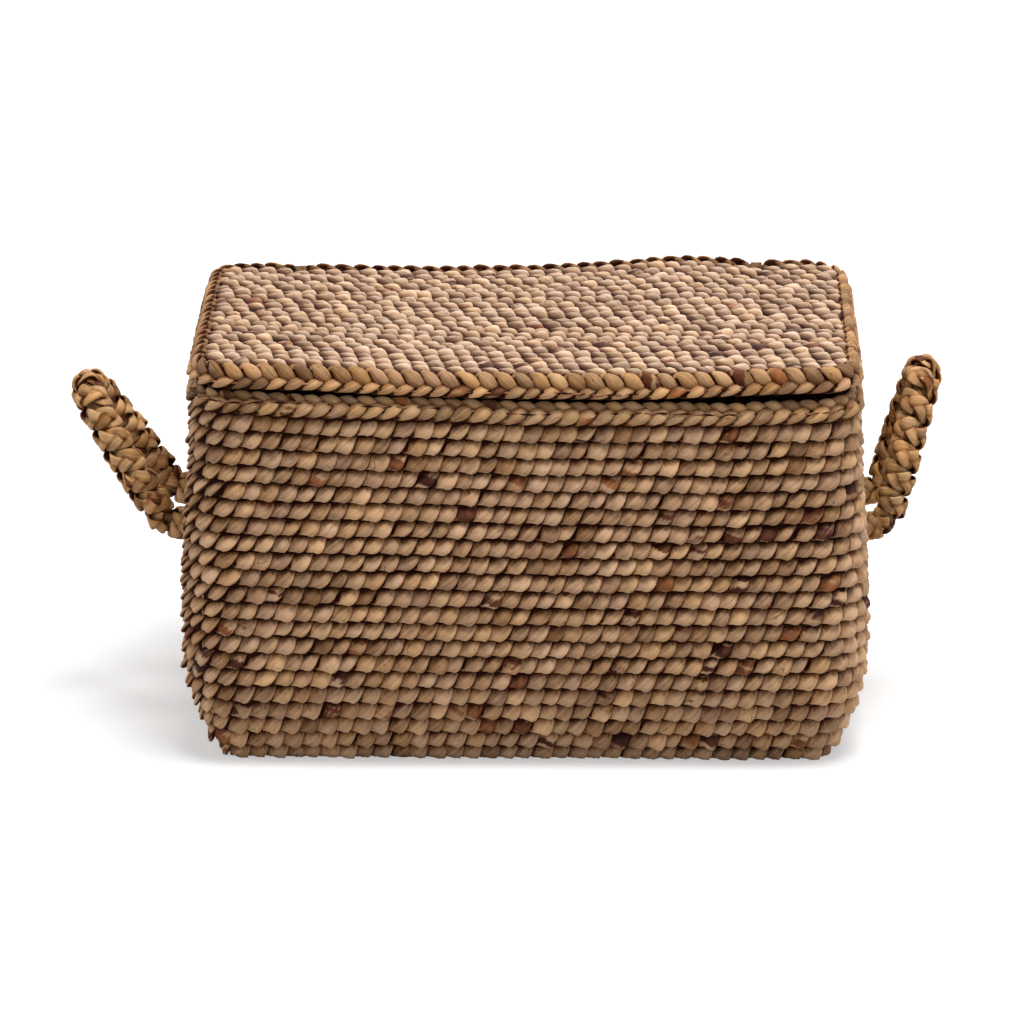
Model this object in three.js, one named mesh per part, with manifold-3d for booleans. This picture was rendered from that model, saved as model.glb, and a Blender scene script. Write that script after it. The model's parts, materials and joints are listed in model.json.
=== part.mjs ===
// Woven lidded box: twined water-hyacinth courses on corner stakes, a plaited rim, a woven base, a lid
// of twined rows in a plaited border that turns in two rope ties, and two wrapped rope handles.
// Millimetres, +Z up, X along the width, the front at -Y. The origin is the middle of the underside.
import * as THREE from "three";
import { mergeVertices } from "three/addons/utils/BufferGeometryUtils.js";
import Module from "manifold-3d";

const wasm = await Module();
wasm.setup();

// Driving dimensions: walls
const BOX_WIDTH = 424; // outside, at the rim
const BOX_DEPTH = 268; // outside, at the rim
const COURSE_COUNT = 21; // twined courses below the rim
const COURSE_PITCH = 10.9;
const WALL_THICKNESS = 11;
const CORNER_RADIUS = 32; // outside, in plan
const CORNER_LEAST = 0.7; // inside corners stay at least this round
const SWELL = 6; // how far the walls belly out past the rim
const SWELL_HEIGHT = 95; // where the belly is widest
const FOOT_INSET = 26; // how far the wall turns in to meet the base
const FOOT_RISE = 70; // height over which it turns in
const FOOT_CURVE = 2.2; // power of that turn
const COURSE_CROWN = 2.2; // depth of the groove between two courses, from the crown
const RIM_HEIGHT = 13;
const RIM_WIDTH = 13;
const STAKE_RADIUS = 1.8;
const BASE_THICKNESS = 9;
const BASE_ROW_COUNT = 20;
const BASE_ROW_RELIEF = 2; // height of the rounded rows on the base

// Driving dimensions: lid
const LID_THICKNESS = 17; // of its border
const BORDER_WIDTH = 13;
const LID_ROW_COUNT = 21;
const LID_ROW_HEIGHT = 11;
const LID_ROW_RAISE = 1.5; // the rows lie this far above the middle of the border
const LID_STAKE_RADIUS = 2;
const LID_STAKE_SPREAD = 200; // between the two cross stakes

// Driving dimensions: hinge ties
const TIE_WIDTH = 9; // a few turns of cord, side by side
const TIE_THICKNESS = 2.4;
const TIE_SPREAD = 300; // between the two ties
const TIE_RUNNING_GAP = 0.8; // around the border, which turns in the tie
const TIE_BEND = 5; // bend radius under the rim

// Driving dimensions: handles
const HANDLE_COURSE = 12; // the handles leave the wall on top of this course
const HANDLE_SPREAD = 74; // between the feet of one handle
const HANDLE_REACH = 95.5; // from its pivot to the top of the arch, at the rope's middle
const HANDLE_TOP_RADIUS = 22; // of the bend at the top
const HANDLE_WRAP_RADIUS = 12.5; // outside of the plaited wrap
const HANDLE_WRAP_INNER = 7.7; // inside of the wrap
const HANDLE_CORE_RADIUS = 6.5;
const HANDLE_WRAP_TURNS = 14;
const HANDLE_WRAP_START = 5.5; // bare core between the pivot and the wrap
const HANDLE_WRAP_SLIT = 1.1; // between two turns, along the core
const HANDLE_LIFT_LEFT = 57; // degrees above level, as it stands
const HANDLE_LIFT_RIGHT = 75;
const ANCHOR_RADIUS = 4.5;
const ANCHOR_BEND = 7.5; // the rope turns along the wall as it comes through

// Clearances
const SEAT_GAP = 0.3; // between pieces that bear on each other
const TURN_GAP = 0.6; // between a turning piece and the wall

// Facet counts
const CORNER_STEPS = 3; // odd, so that a flat faces the stake in each corner
const ROUND_SIDES = 8;
const STAKE_SIDES = 5;
const CORE_STEPS = 28;
const ANCHOR_STEPS = 22;
const STAKE_STEPS = 12;
const TIE_ARC_STEPS = 3; // per quarter
const WRAP_STEPS = 10; // per turn

// Sizes worked out from those above
const WALL_HEIGHT = COURSE_COUNT * COURSE_PITCH;
const RIM_TOP = WALL_HEIGHT + RIM_HEIGHT;
const LID_MIDDLE = RIM_TOP + SEAT_GAP + LID_THICKNESS / 2;
const HINGE_Y = BOX_DEPTH / 2 - BORDER_WIDTH / 2;
const LID_INNER_DEPTH = BOX_DEPTH - 2 * BORDER_WIDTH;
const LID_ROW_PITCH = LID_INNER_DEPTH / LID_ROW_COUNT;
const ROW_MIDDLE = LID_MIDDLE + LID_ROW_RAISE;
const HANDLE_HEIGHT = HANDLE_COURSE * COURSE_PITCH;
const CUT_LENGTH = 4 * WALL_THICKNESS; // of a cut that goes right through the wall
const CORNER_FLAT = Math.cos(Math.PI / 4 / CORNER_STEPS); // of a corner's radius, at that flat
const HANDLE_PIVOT_X = halfWidth(HANDLE_HEIGHT) + HANDLE_WRAP_RADIUS + TURN_GAP;

// Finishes, from dry pale stalk to the darker wrapped handles
const finish = (color, roughness) => new THREE.MeshStandardMaterial({ color, roughness, metalness: 0 });
const WALL_STALK = finish(0xb59468, 0.62);
const RIM_STALK = finish(0xba9a6c, 0.6);
const LID_STALK = finish(0xc2a27a, 0.62);
const HANDLE_STALK = finish(0x99754a, 0.55);
const CORE_ROPE = finish(0x85643f, 0.75);
const TIE_ROPE = finish(0x8d6c45, 0.7);
const RATTAN = finish(0xa88a5a, 0.5);

// Wall profile: half the outside width or depth at height z
function wallOffset(z) {
  const above = THREE.MathUtils.clamp((z - SWELL_HEIGHT) / (WALL_HEIGHT - SWELL_HEIGHT), 0, 1);
  const belly = SWELL * Math.cos((Math.PI / 2) * above) ** 2;
  const turnIn = FOOT_INSET * Math.max(0, 1 - z / FOOT_RISE) ** FOOT_CURVE;
  return belly - turnIn;
}

function halfWidth(z) {
  return BOX_WIDTH / 2 + wallOffset(z);
}

function halfDepth(z) {
  return BOX_DEPTH / 2 + wallOffset(z);
}

// Solids: a closed geometry as a manifold-3d solid and back, with cuts and joins between geometries
function toSolid(geometry) {
  const bare = geometry.clone();
  bare.deleteAttribute("normal");
  bare.deleteAttribute("uv");
  const merged = mergeVertices(bare, 1e-4);
  return new wasm.Manifold(
    new wasm.Mesh({
      numProp: 3,
      vertProperties: merged.attributes.position.array,
      triVerts: new Uint32Array(merged.index.array),
    }),
  );
}

function toGeometry(solid) {
  const mesh = solid.getMesh();
  const geometry = new THREE.BufferGeometry();
  geometry.setAttribute("position", new THREE.BufferAttribute(mesh.vertProperties, 3));
  geometry.setIndex(new THREE.BufferAttribute(mesh.triVerts, 1));
  return geometry;
}

function cutBy(geometry, cutters) {
  return toGeometry(cutters.reduce((solid, cutter) => solid.subtract(toSolid(cutter)), toSolid(geometry)));
}

function keepWithin(geometry, bounds) {
  return toGeometry(toSolid(geometry).intersect(toSolid(bounds)));
}

function joined(geometry, additions) {
  return toGeometry(additions.reduce((solid, added) => solid.add(toSolid(added)), toSolid(geometry)));
}

// Rows of points joined into a surface: each row is a closed loop, and the rows close on themselves
// into a ring, or are capped by a fan at the first and the last row.
function loft(rows, { ring }) {
  const count = rows[0].length;
  const positions = rows.flat().flatMap((point) => point.toArray());
  const index = [];
  const bands = ring ? rows.length : rows.length - 1;
  for (let row = 0; row < bands; row++) {
    const next = (row + 1) % rows.length;
    for (let k = 0; k < count; k++) {
      const after = (k + 1) % count;
      const [a, b] = [row * count + k, row * count + after];
      const [c, d] = [next * count + k, next * count + after];
      index.push(a, b, d, a, d, c);
    }
  }
  for (let k = 1; k < count - 1 && !ring; k++) {
    const last = (rows.length - 1) * count;
    index.push(0, k + 1, k, last, last + k, last + k + 1);
  }
  const geometry = new THREE.BufferGeometry();
  geometry.setAttribute("position", new THREE.Float32BufferAttribute(positions, 3));
  geometry.setIndex(index);
  return geometry;
}

// Rounded rectangle in plan, counter-clockwise from above, as a loop of points at height z
function outline(halfX, halfY, radius, z) {
  const corners = [[1, 1], [-1, 1], [-1, -1], [1, -1]];
  return corners.flatMap(([signX, signY], quarter) =>
    Array.from({ length: CORNER_STEPS + 1 }, (_, step) => {
      const angle = (Math.PI / 2) * (quarter + step / CORNER_STEPS);
      return new THREE.Vector3(
        signX * (halfX - radius) + radius * Math.cos(angle),
        signY * (halfY - radius) + radius * Math.sin(angle),
        z,
      );
    }),
  );
}

// The wall's outline at height z, moved in from its outside
function wallOutline(z, inset) {
  const radius = Math.max(CORNER_LEAST, CORNER_RADIUS + wallOffset(z) - inset);
  return outline(halfWidth(z) - inset, halfDepth(z) - inset, radius, z);
}

// A tube along a curve, and the plain round section that it carries
function roundSection(radius, sides) {
  const corner = (k) => {
    const angle = (2 * Math.PI * (k + 0.5)) / sides;
    return new THREE.Vector2(radius * Math.cos(angle), radius * Math.sin(angle));
  };
  return new THREE.Shape(Array.from({ length: sides }, (_, k) => corner(k)));
}

function tubeAlong(curve, radius, steps, sides = ROUND_SIDES) {
  return new THREE.ExtrudeGeometry(roundSection(radius, sides), { extrudePath: curve, steps });
}

// Radius of a faceted hole that clears a faceted bar, whichever way the two are turned
function holeRadius(barRadius, sides = ROUND_SIDES) {
  return (barRadius + SEAT_GAP) / Math.cos(Math.PI / sides);
}

// A round bar between two points on a line along X or Y
function roundBar(radius, length, axis, sides = ROUND_SIDES) {
  const bar = new THREE.CylinderGeometry(radius, radius, length, sides);
  return axis === "x" ? bar.rotateZ(Math.PI / 2) : bar;
}

function named(name, geometry, material) {
  const mesh = new THREE.Mesh(geometry, material);
  mesh.name = name;
  return mesh;
}

const numbered = (stem, index) => `${stem}_${String(index + 1).padStart(2, "0")}`;
const SIDES = [["left", -1], ["right", 1]];

// Corner stakes: each follows the middle of the wall's thickness, up one corner of the box
function stakeCurve(signX, signY) {
  const pointAt = (z) => {
    const radius = CORNER_RADIUS + wallOffset(z);
    const along = (radius - WALL_THICKNESS / 2) * CORNER_FLAT * Math.SQRT1_2;
    return new THREE.Vector3(
      signX * (halfWidth(z) - radius + along),
      signY * (halfDepth(z) - radius + along),
      z,
    );
  };
  const bottom = STAKE_RADIUS + SEAT_GAP;
  const top = WALL_HEIGHT - COURSE_PITCH / 2;
  return new THREE.CatmullRomCurve3(
    Array.from({ length: STAKE_STEPS + 1 }, (_, k) => pointAt(bottom + ((top - bottom) * k) / STAKE_STEPS)),
  );
}

const STAKES = [
  ["front_left", -1, -1],
  ["front_right", 1, -1],
  ["rear_left", -1, 1],
  ["rear_right", 1, 1],
].map(([place, signX, signY]) => ({ place, curve: stakeCurve(signX, signY) }));

function cornerStake({ place, curve }) {
  return named(`corner_stake_${place}`, tubeAlong(curve, STAKE_RADIUS, STAKE_STEPS, STAKE_SIDES), RATTAN);
}

// Wall courses: rings crowned inside and out, threaded on the stakes
function courseRing(bottom, top) {
  const middle = (bottom + top) / 2;
  const inner = WALL_THICKNESS - COURSE_CROWN;
  const levels = [
    [bottom, COURSE_CROWN],
    [middle, 0],
    [top, COURSE_CROWN],
    [top, inner],
    [middle, WALL_THICKNESS],
    [bottom, inner],
  ];
  return loft(levels.map(([z, inset]) => wallOutline(z, inset)), { ring: true });
}

const stakeHoles = STAKES.map(({ curve }) =>
  tubeAlong(curve, holeRadius(STAKE_RADIUS, STAKE_SIDES), STAKE_STEPS, STAKE_SIDES),
);

function handleHoles() {
  return SIDES.flatMap(([, sign]) =>
    [-1, 1].map((end) =>
      roundBar(holeRadius(ANCHOR_RADIUS), CUT_LENGTH, "x").translate(
        sign * halfWidth(HANDLE_HEIGHT),
        (end * HANDLE_SPREAD) / 2,
        HANDLE_HEIGHT,
      ),
    ),
  );
}

function tieSlots() {
  const width = TIE_WIDTH + 2 * SEAT_GAP;
  const depth = TIE_THICKNESS + 2 * SEAT_GAP;
  const slot = () => new THREE.BoxGeometry(width, CUT_LENGTH, 2 * depth);
  return SIDES.map(([, sign]) => slot().translate((sign * TIE_SPREAD) / 2, BOX_DEPTH / 2, WALL_HEIGHT));
}

function wallCourse(index) {
  const bottom = index * COURSE_PITCH;
  const ring = courseRing(bottom, bottom + COURSE_PITCH - SEAT_GAP);
  const cutters = [...stakeHoles];
  if (index === HANDLE_COURSE - 1 || index === HANDLE_COURSE) cutters.push(...handleHoles());
  if (index === COURSE_COUNT - 1) cutters.push(...tieSlots());
  return named(numbered("wall_course", index), cutBy(ring, cutters), WALL_STALK);
}

// Plaited bands: a ring of oval section that runs round the top of the wall or the edge of the lid
function plaitedBand(width, height, middle) {
  const section = Array.from({ length: ROUND_SIDES }, (_, k) => {
    const angle = (2 * Math.PI * k) / ROUND_SIDES;
    const inset = (width / 2) * (1 - Math.cos(angle));
    return [middle + (height / 2) * Math.sin(angle), inset];
  });
  const rows = section.map(([z, inset]) =>
    outline(BOX_WIDTH / 2 - inset, BOX_DEPTH / 2 - inset, CORNER_RADIUS - inset, z),
  );
  return loft(rows, { ring: true });
}

function rimPlait() {
  return named("rim_plait", plaitedBand(RIM_WIDTH, RIM_HEIGHT, WALL_HEIGHT + RIM_HEIGHT / 2), RIM_STALK);
}

// Base: rounded rows along X, cut to the tapered opening of the lowest course, which they rest in
function ribbedSlab(length, depth, thickness, rows, relief) {
  const shape = new THREE.Shape();
  const pitch = depth / rows;
  shape.moveTo(-depth / 2, 0);
  shape.lineTo(depth / 2, 0);
  shape.lineTo(depth / 2, thickness - relief);
  for (let row = 0; row < rows; row++) {
    const start = depth / 2 - row * pitch;
    shape.quadraticCurveTo(start - pitch / 2, thickness + relief, start - pitch, thickness - relief);
  }
  const slab = new THREE.ExtrudeGeometry(shape, { depth: length, bevelEnabled: false, curveSegments: 3 });
  return slab.translate(0, 0, -length / 2).applyMatrix4(
    new THREE.Matrix4().makeBasis(
      new THREE.Vector3(0, 1, 0),
      new THREE.Vector3(0, 0, 1),
      new THREE.Vector3(1, 0, 0),
    ),
  );
}

function baseMat() {
  const inset = WALL_THICKNESS + SEAT_GAP;
  const plug = loft(
    [0, BASE_THICKNESS].map((z) => wallOutline(z, inset)),
    { ring: false },
  );
  const slab = ribbedSlab(BOX_WIDTH, BOX_DEPTH, BASE_THICKNESS, BASE_ROW_COUNT, BASE_ROW_RELIEF);
  return named("base_mat", keepWithin(slab, plug), WALL_STALK);
}

// Lid: rows along X on two cross stakes, inside the plaited border
function lidStakeBar(sign, radius, length) {
  return roundBar(radius, length, "y", STAKE_SIDES).translate((sign * LID_STAKE_SPREAD) / 2, 0, ROW_MIDDLE);
}

function lidStake(place, sign) {
  const bar = lidStakeBar(sign, LID_STAKE_RADIUS, LID_INNER_DEPTH - 2 * SEAT_GAP);
  return named(`lid_stake_${place}`, bar, RATTAN);
}

function lidRowBlank(y) {
  const half = (LID_ROW_PITCH - SEAT_GAP) / 2;
  const rise = LID_ROW_HEIGHT / 2;
  const crowned = (side) => [
    new THREE.Vector2(side * half, (-side * rise) / 2),
    new THREE.Vector2(side * half, (side * rise) / 2),
    new THREE.Vector2((side * half) / 2, side * rise),
    new THREE.Vector2((-side * half) / 2, side * rise),
  ];
  const section = new THREE.Shape([...crowned(1), ...crowned(-1)]);
  const bar = new THREE.ExtrudeGeometry(section, { depth: BOX_WIDTH, bevelEnabled: false });
  bar.translate(0, 0, -BOX_WIDTH / 2);
  bar.rotateX(Math.PI / 2).rotateZ(Math.PI / 2);
  return bar.translate(0, y, ROW_MIDDLE);
}

// The space inside the border, in which the rows lie
function lidField() {
  const inset = BORDER_WIDTH + SEAT_GAP;
  const loops = [-1, 1].map((end) =>
    outline(
      BOX_WIDTH / 2 - inset,
      BOX_DEPTH / 2 - inset,
      CORNER_RADIUS - inset,
      ROW_MIDDLE + end * LID_ROW_HEIGHT,
    ),
  );
  return loft(loops, { ring: false });
}

// Room in the rearmost row for the ties, through which the border turns: it clears a tie's upright run for
// the whole height of the row, whichever face of the lid is up
function tieNotches() {
  const tieOutside = LID_THICKNESS / 2 + TIE_RUNNING_GAP + TIE_THICKNESS;
  const rowReach = LID_ROW_HEIGHT / 2 + LID_ROW_RAISE;
  const sides = 2 * ROUND_SIDES;
  const radius = holeRadius(Math.hypot(tieOutside + SEAT_GAP, rowReach), sides);
  const width = TIE_WIDTH + 2 * TURN_GAP;
  return SIDES.map(([, sign]) =>
    roundBar(radius, width, "x", sides).translate((sign * TIE_SPREAD) / 2, HINGE_Y, LID_MIDDLE),
  );
}

function lidRow(index) {
  const y = -LID_INNER_DEPTH / 2 + (index + 0.5) * LID_ROW_PITCH;
  const cutters = SIDES.map(([, sign]) => lidStakeBar(sign, LID_STAKE_RADIUS + SEAT_GAP, BOX_DEPTH));
  if (index === LID_ROW_COUNT - 1) cutters.push(...tieNotches());
  return named(numbered("lid_row", index), cutBy(keepWithin(lidRowBlank(y), lidField()), cutters), LID_STALK);
}

function lidBorder() {
  return named("lid_border_plait", plaitedBand(BORDER_WIDTH, LID_THICKNESS, LID_MIDDLE), LID_STALK);
}

// Hinge ties: rope loops round the rim and the lid's border, round above so that the border turns in them
function hingeTie(place, sign) {
  const half = LID_THICKNESS / 2 + TIE_RUNNING_GAP + TIE_THICKNESS / 2;
  const bottom = WALL_HEIGHT - SEAT_GAP - TIE_THICKNESS / 2;
  const [edge, crown] = [TIE_WIDTH / 2, TIE_THICKNESS / 2];
  const section = [
    [-edge, 0],
    [-edge / 2, -crown],
    [edge / 2, -crown],
    [edge, 0],
    [edge / 2, crown],
    [-edge / 2, crown],
  ];
  const path = new THREE.Path();
  path.absarc(0, LID_MIDDLE, half, 0, Math.PI);
  path.lineTo(-half, bottom + TIE_BEND);
  path.absarc(-half + TIE_BEND, bottom + TIE_BEND, TIE_BEND, Math.PI, 1.5 * Math.PI);
  path.absarc(half - TIE_BEND, bottom + TIE_BEND, TIE_BEND, 1.5 * Math.PI, 2 * Math.PI);
  path.closePath();
  const apart = (point, k, all) => point.distanceTo(all.at(k - 1)) > SEAT_GAP;
  const line = path.getPoints(TIE_ARC_STEPS).filter(apart);
  const rows = line.map((point, k) => {
    const before = line.at(k - 1);
    const after = line[(k + 1) % line.length];
    const out = new THREE.Vector2(after.y - before.y, before.x - after.x).normalize();
    return section.map(([across, outwards]) =>
      new THREE.Vector3(
        (sign * TIE_SPREAD) / 2 + across,
        HINGE_Y + point.x + out.x * outwards,
        point.y + out.y * outwards,
      ),
    );
  });
  return named(`hinge_tie_${place}`, loft(rows, { ring: true }), TIE_ROPE);
}

// Handles: a bent rope core, a plaited ribbon wound round it, and a rope anchor through the wall
// The core is an arch of three arcs: two long ones lean the legs in, and a tight one joins them at the top.
class HandleLoop extends THREE.Curve {
  constructor() {
    super();
    const half = HANDLE_SPREAD / 2;
    const rise = HANDLE_REACH - HANDLE_TOP_RADIUS;
    const leanIn = 2 * Math.atan2(half - HANDLE_TOP_RADIUS, rise);
    const legRadius = HANDLE_TOP_RADIUS + rise / Math.sin(leanIn);
    this.arcs = [
      { x: 0, y: legRadius - half, radius: legRadius, from: 0, to: leanIn },
      { x: rise, y: 0, radius: HANDLE_TOP_RADIUS, from: leanIn, to: Math.PI - leanIn },
      { x: 0, y: half - legRadius, radius: legRadius, from: Math.PI - leanIn, to: Math.PI },
    ];
    this.lengths = this.arcs.map(({ radius, from, to }) => radius * (to - from));
    this.total = this.lengths.reduce((sum, length) => sum + length);
  }

  // Point and outward normal at a distance along the arch, in its own plane: X outwards, Y across
  frameAt(distance) {
    const [leg, top] = this.lengths;
    const number = distance < leg ? 0 : distance < leg + top ? 1 : 2;
    const { x, y, radius, from } = this.arcs[number];
    const before = [0, leg, leg + top][number];
    const heading = from + (distance - before) / radius;
    const normal = new THREE.Vector3(Math.sin(heading), -Math.cos(heading), 0);
    return { point: new THREE.Vector3(x, y, 0).addScaledVector(normal, radius), normal };
  }

  getPoint(t) {
    return this.frameAt(t * this.total).point;
  }
}

const LOOP = new HandleLoop();
const LOOP_UP = new THREE.Vector3(0, 0, 1);

// A point at a distance along the core, at a radius from its middle and an angle round it
function aroundCore(distance, radius, angle) {
  const { point, normal } = LOOP.frameAt(distance);
  return point
    .addScaledVector(normal, radius * Math.cos(angle))
    .addScaledVector(LOOP_UP, radius * Math.sin(angle));
}

function wrapRibbon() {
  const first = HANDLE_WRAP_START;
  const pitch = (LOOP.total - 2 * first) / (HANDLE_WRAP_TURNS + 1);
  const half = (pitch - HANDLE_WRAP_SLIT) / 2;
  const shoulder = (HANDLE_WRAP_RADIUS + HANDLE_WRAP_INNER) / 2;
  const farShoulder = [half, shoulder];
  const nearShoulder = [-half, shoulder];
  const section = [
    [-half / 2, HANDLE_WRAP_RADIUS],
    [half / 2, HANDLE_WRAP_RADIUS],
    farShoulder,
    [half, HANDLE_WRAP_INNER],
    [0, HANDLE_WRAP_INNER],
    [-half, HANDLE_WRAP_INNER],
    nearShoulder,
  ];
  const rows = Array.from({ length: HANDLE_WRAP_TURNS * WRAP_STEPS + 1 }, (_, step) => {
    const turn = step / WRAP_STEPS;
    const distance = first + pitch * (turn + 0.5);
    return section.map(([along, radius]) => aroundCore(distance + along, radius, 2 * Math.PI * turn));
  });
  const [near, far] = [section.indexOf(nearShoulder), section.indexOf(farShoulder)];
  const gaps = rows.slice(WRAP_STEPS).map((row, k) => row[near].distanceTo(rows[k][far]));
  console.log(`least gap between two turns of a handle wrap: ${Math.min(...gaps).toFixed(2)} mm`);
  return loft(rows, { ring: false });
}

function handleCore() {
  const bar = tubeAlong(LOOP, HANDLE_CORE_RADIUS, CORE_STEPS);
  const ends = [-1, 1].map((end) =>
    new THREE.SphereGeometry(HANDLE_CORE_RADIUS, ROUND_SIDES, ROUND_SIDES).translate(
      0,
      (end * HANDLE_SPREAD) / 2,
      0,
    ),
  );
  return joined(bar, ends);
}

// Places a handle's own frame, X outwards and Z up, at its pivot and turns it up to where it stands
function handleGroup(place, sign, lift) {
  const group = new THREE.Group();
  group.add(named(`handle_${place}_core`, handleCore(), CORE_ROPE));
  group.add(named(`handle_${place}_wrap`, wrapRibbon(), HANDLE_STALK));
  group.rotation.order = "ZYX";
  group.rotation.set(0, -THREE.MathUtils.degToRad(lift), sign < 0 ? Math.PI : 0);
  group.position.set(sign * HANDLE_PIVOT_X, 0, HANDLE_HEIGHT);
  return group;
}

// The anchor: one rope that comes out through the wall at both legs and runs between them inside
function handleAnchor(place, sign) {
  const outer = HANDLE_PIVOT_X - HANDLE_CORE_RADIUS - SEAT_GAP;
  const inner = halfWidth(HANDLE_HEIGHT) - WALL_THICKNESS - ANCHOR_BEND;
  const half = HANDLE_SPREAD / 2;
  const at = (x, y) => new THREE.Vector3(sign * x, y, HANDLE_HEIGHT);
  const path = new THREE.CurvePath();
  const corner = (end) => at(inner, end * half);
  const bendOut = (end) => at(inner + ANCHOR_BEND, end * half);
  const bendAlong = (end) => at(inner, end * (half - ANCHOR_BEND));
  path.add(new THREE.LineCurve3(at(outer, -half), bendOut(-1)));
  path.add(new THREE.QuadraticBezierCurve3(bendOut(-1), corner(-1), bendAlong(-1)));
  path.add(new THREE.LineCurve3(bendAlong(-1), bendAlong(1)));
  path.add(new THREE.QuadraticBezierCurve3(bendAlong(1), corner(1), bendOut(1)));
  path.add(new THREE.LineCurve3(bendOut(1), at(outer, half)));
  return named(`handle_${place}_anchor`, tubeAlong(path, ANCHOR_RADIUS, ANCHOR_STEPS), CORE_ROPE);
}

const counted = (count, make) => Array.from({ length: count }, (_, index) => make(index));

const basket = new THREE.Group();
basket.add(baseMat(), ...STAKES.map(cornerStake), ...counted(COURSE_COUNT, wallCourse), rimPlait());
basket.add(...SIDES.map(([place, sign]) => hingeTie(place, sign)));
basket.add(...SIDES.map(([place, sign]) => handleAnchor(place, sign)));

const lid = new THREE.Group();
lid.add(lidBorder(), ...counted(LID_ROW_COUNT, lidRow));
lid.add(...SIDES.map(([place, sign]) => lidStake(place, sign)));

const box = new THREE.Group();
box.add(basket, lid);
box.add(handleGroup("left", -1, HANDLE_LIFT_LEFT), handleGroup("right", 1, HANDLE_LIFT_RIGHT));

export default box;
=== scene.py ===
"""Dresses the woven lidded box: twined stalk courses and rows, plaits, wrapped rope handles, hinge ties and
a pale studio. Metres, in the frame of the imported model: +Z up, X along the width, the front at -Y."""
import json
import logging
import math
from dataclasses import dataclass
from enum import Enum, IntEnum
from typing import Any, Callable, ClassVar

import bpy
import numpy as np
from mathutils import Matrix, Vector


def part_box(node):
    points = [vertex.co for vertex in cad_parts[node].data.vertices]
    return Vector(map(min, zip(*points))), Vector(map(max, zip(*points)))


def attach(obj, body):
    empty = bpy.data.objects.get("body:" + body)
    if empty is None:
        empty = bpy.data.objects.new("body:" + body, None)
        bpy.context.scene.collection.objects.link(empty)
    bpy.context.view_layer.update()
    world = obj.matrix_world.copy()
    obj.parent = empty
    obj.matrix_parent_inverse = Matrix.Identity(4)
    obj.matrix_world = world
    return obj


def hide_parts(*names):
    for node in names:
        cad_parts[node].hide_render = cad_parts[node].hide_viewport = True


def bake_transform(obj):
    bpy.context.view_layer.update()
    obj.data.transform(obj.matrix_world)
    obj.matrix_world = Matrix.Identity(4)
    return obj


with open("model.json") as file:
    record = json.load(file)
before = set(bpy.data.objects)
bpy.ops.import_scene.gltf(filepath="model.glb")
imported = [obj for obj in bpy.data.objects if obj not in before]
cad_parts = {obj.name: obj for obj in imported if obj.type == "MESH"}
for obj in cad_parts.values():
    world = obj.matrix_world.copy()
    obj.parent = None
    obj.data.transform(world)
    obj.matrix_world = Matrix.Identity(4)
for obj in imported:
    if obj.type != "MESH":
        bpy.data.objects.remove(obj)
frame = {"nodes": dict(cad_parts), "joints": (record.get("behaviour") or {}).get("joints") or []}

Array = np.ndarray
Colour = tuple[int, int, int]

LOG = logging.getLogger("woven_box")
UP = np.array([0.0, 0.0, 1.0])
MM = 0.001

COURSE_COUNT = 21
BASE_ROW_COUNT = 20
LID_ROW_COUNT = 21
CORNER_RADIUS = 32.0 * MM
GRAIN_SHIFT = 30.0
NOISE_MIDDLE = 0.5
SIDES = (("left", -1.0), ("right", 1.0))
HANDLE_LIFT_DEG = {"left": 57.0, "right": 75.0}
HANDLE_FOOT_SIZE = {"left": 0.92, "right": 0.78}


class Lean(Enum):
    """Which way the lobes of a twisted pair lean, seen from outside with the path running to the right."""

    RISING = 1.0
    FALLING = -1.0


class Seed(IntEnum):
    """The random seed of each kind of piece, or the first of them where a kind has several."""

    HEAVE = 90
    COURSE = 100
    RIM = 300
    RIM_CORD = 310
    BASE = 400
    LID_ROW = 500
    BORDER = 600
    BORDER_CORD = 610
    TIE = 700
    LEFT_HANDLE = 800
    RIGHT_HANDLE = 850


# Shader expressions


class Value:
    """One socket of a material's nodes, which takes part in Python arithmetic."""

    def __init__(self, shader: "Shader", socket: bpy.types.NodeSocket) -> None:
        """Holds the socket and the shader that it belongs to."""
        self.shader = shader
        self.socket = socket

    def _math(self, operation: str, first: Any, second: Any) -> "Value":
        """A Math node of two operands."""
        return self.shader.node("ShaderNodeMath", {"operation": operation}, {0: first, 1: second})

    def __add__(self, other: Any) -> "Value":
        """self + other."""
        return self._math("ADD", self, other)

    __radd__ = __add__

    def __sub__(self, other: Any) -> "Value":
        """self - other."""
        return self._math("SUBTRACT", self, other)

    def __rsub__(self, other: Any) -> "Value":
        """other - self."""
        return self._math("SUBTRACT", other, self)

    def __mul__(self, other: Any) -> "Value":
        """self * other."""
        return self._math("MULTIPLY", self, other)

    def away_from(self, middle: float) -> "Value":
        """The distance of the value from a middle."""
        return self.shader.node("ShaderNodeMath", {"operation": "ABSOLUTE"}, {0: self - middle})

    def step(self, low: float, high: float) -> "Value":
        """A smooth step from 0 at low to 1 at high."""
        return self.shader.node(
            "ShaderNodeMapRange", {"interpolation_type": "SMOOTHSTEP"}, {0: self, 1: low, 2: high}
        )


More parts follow.
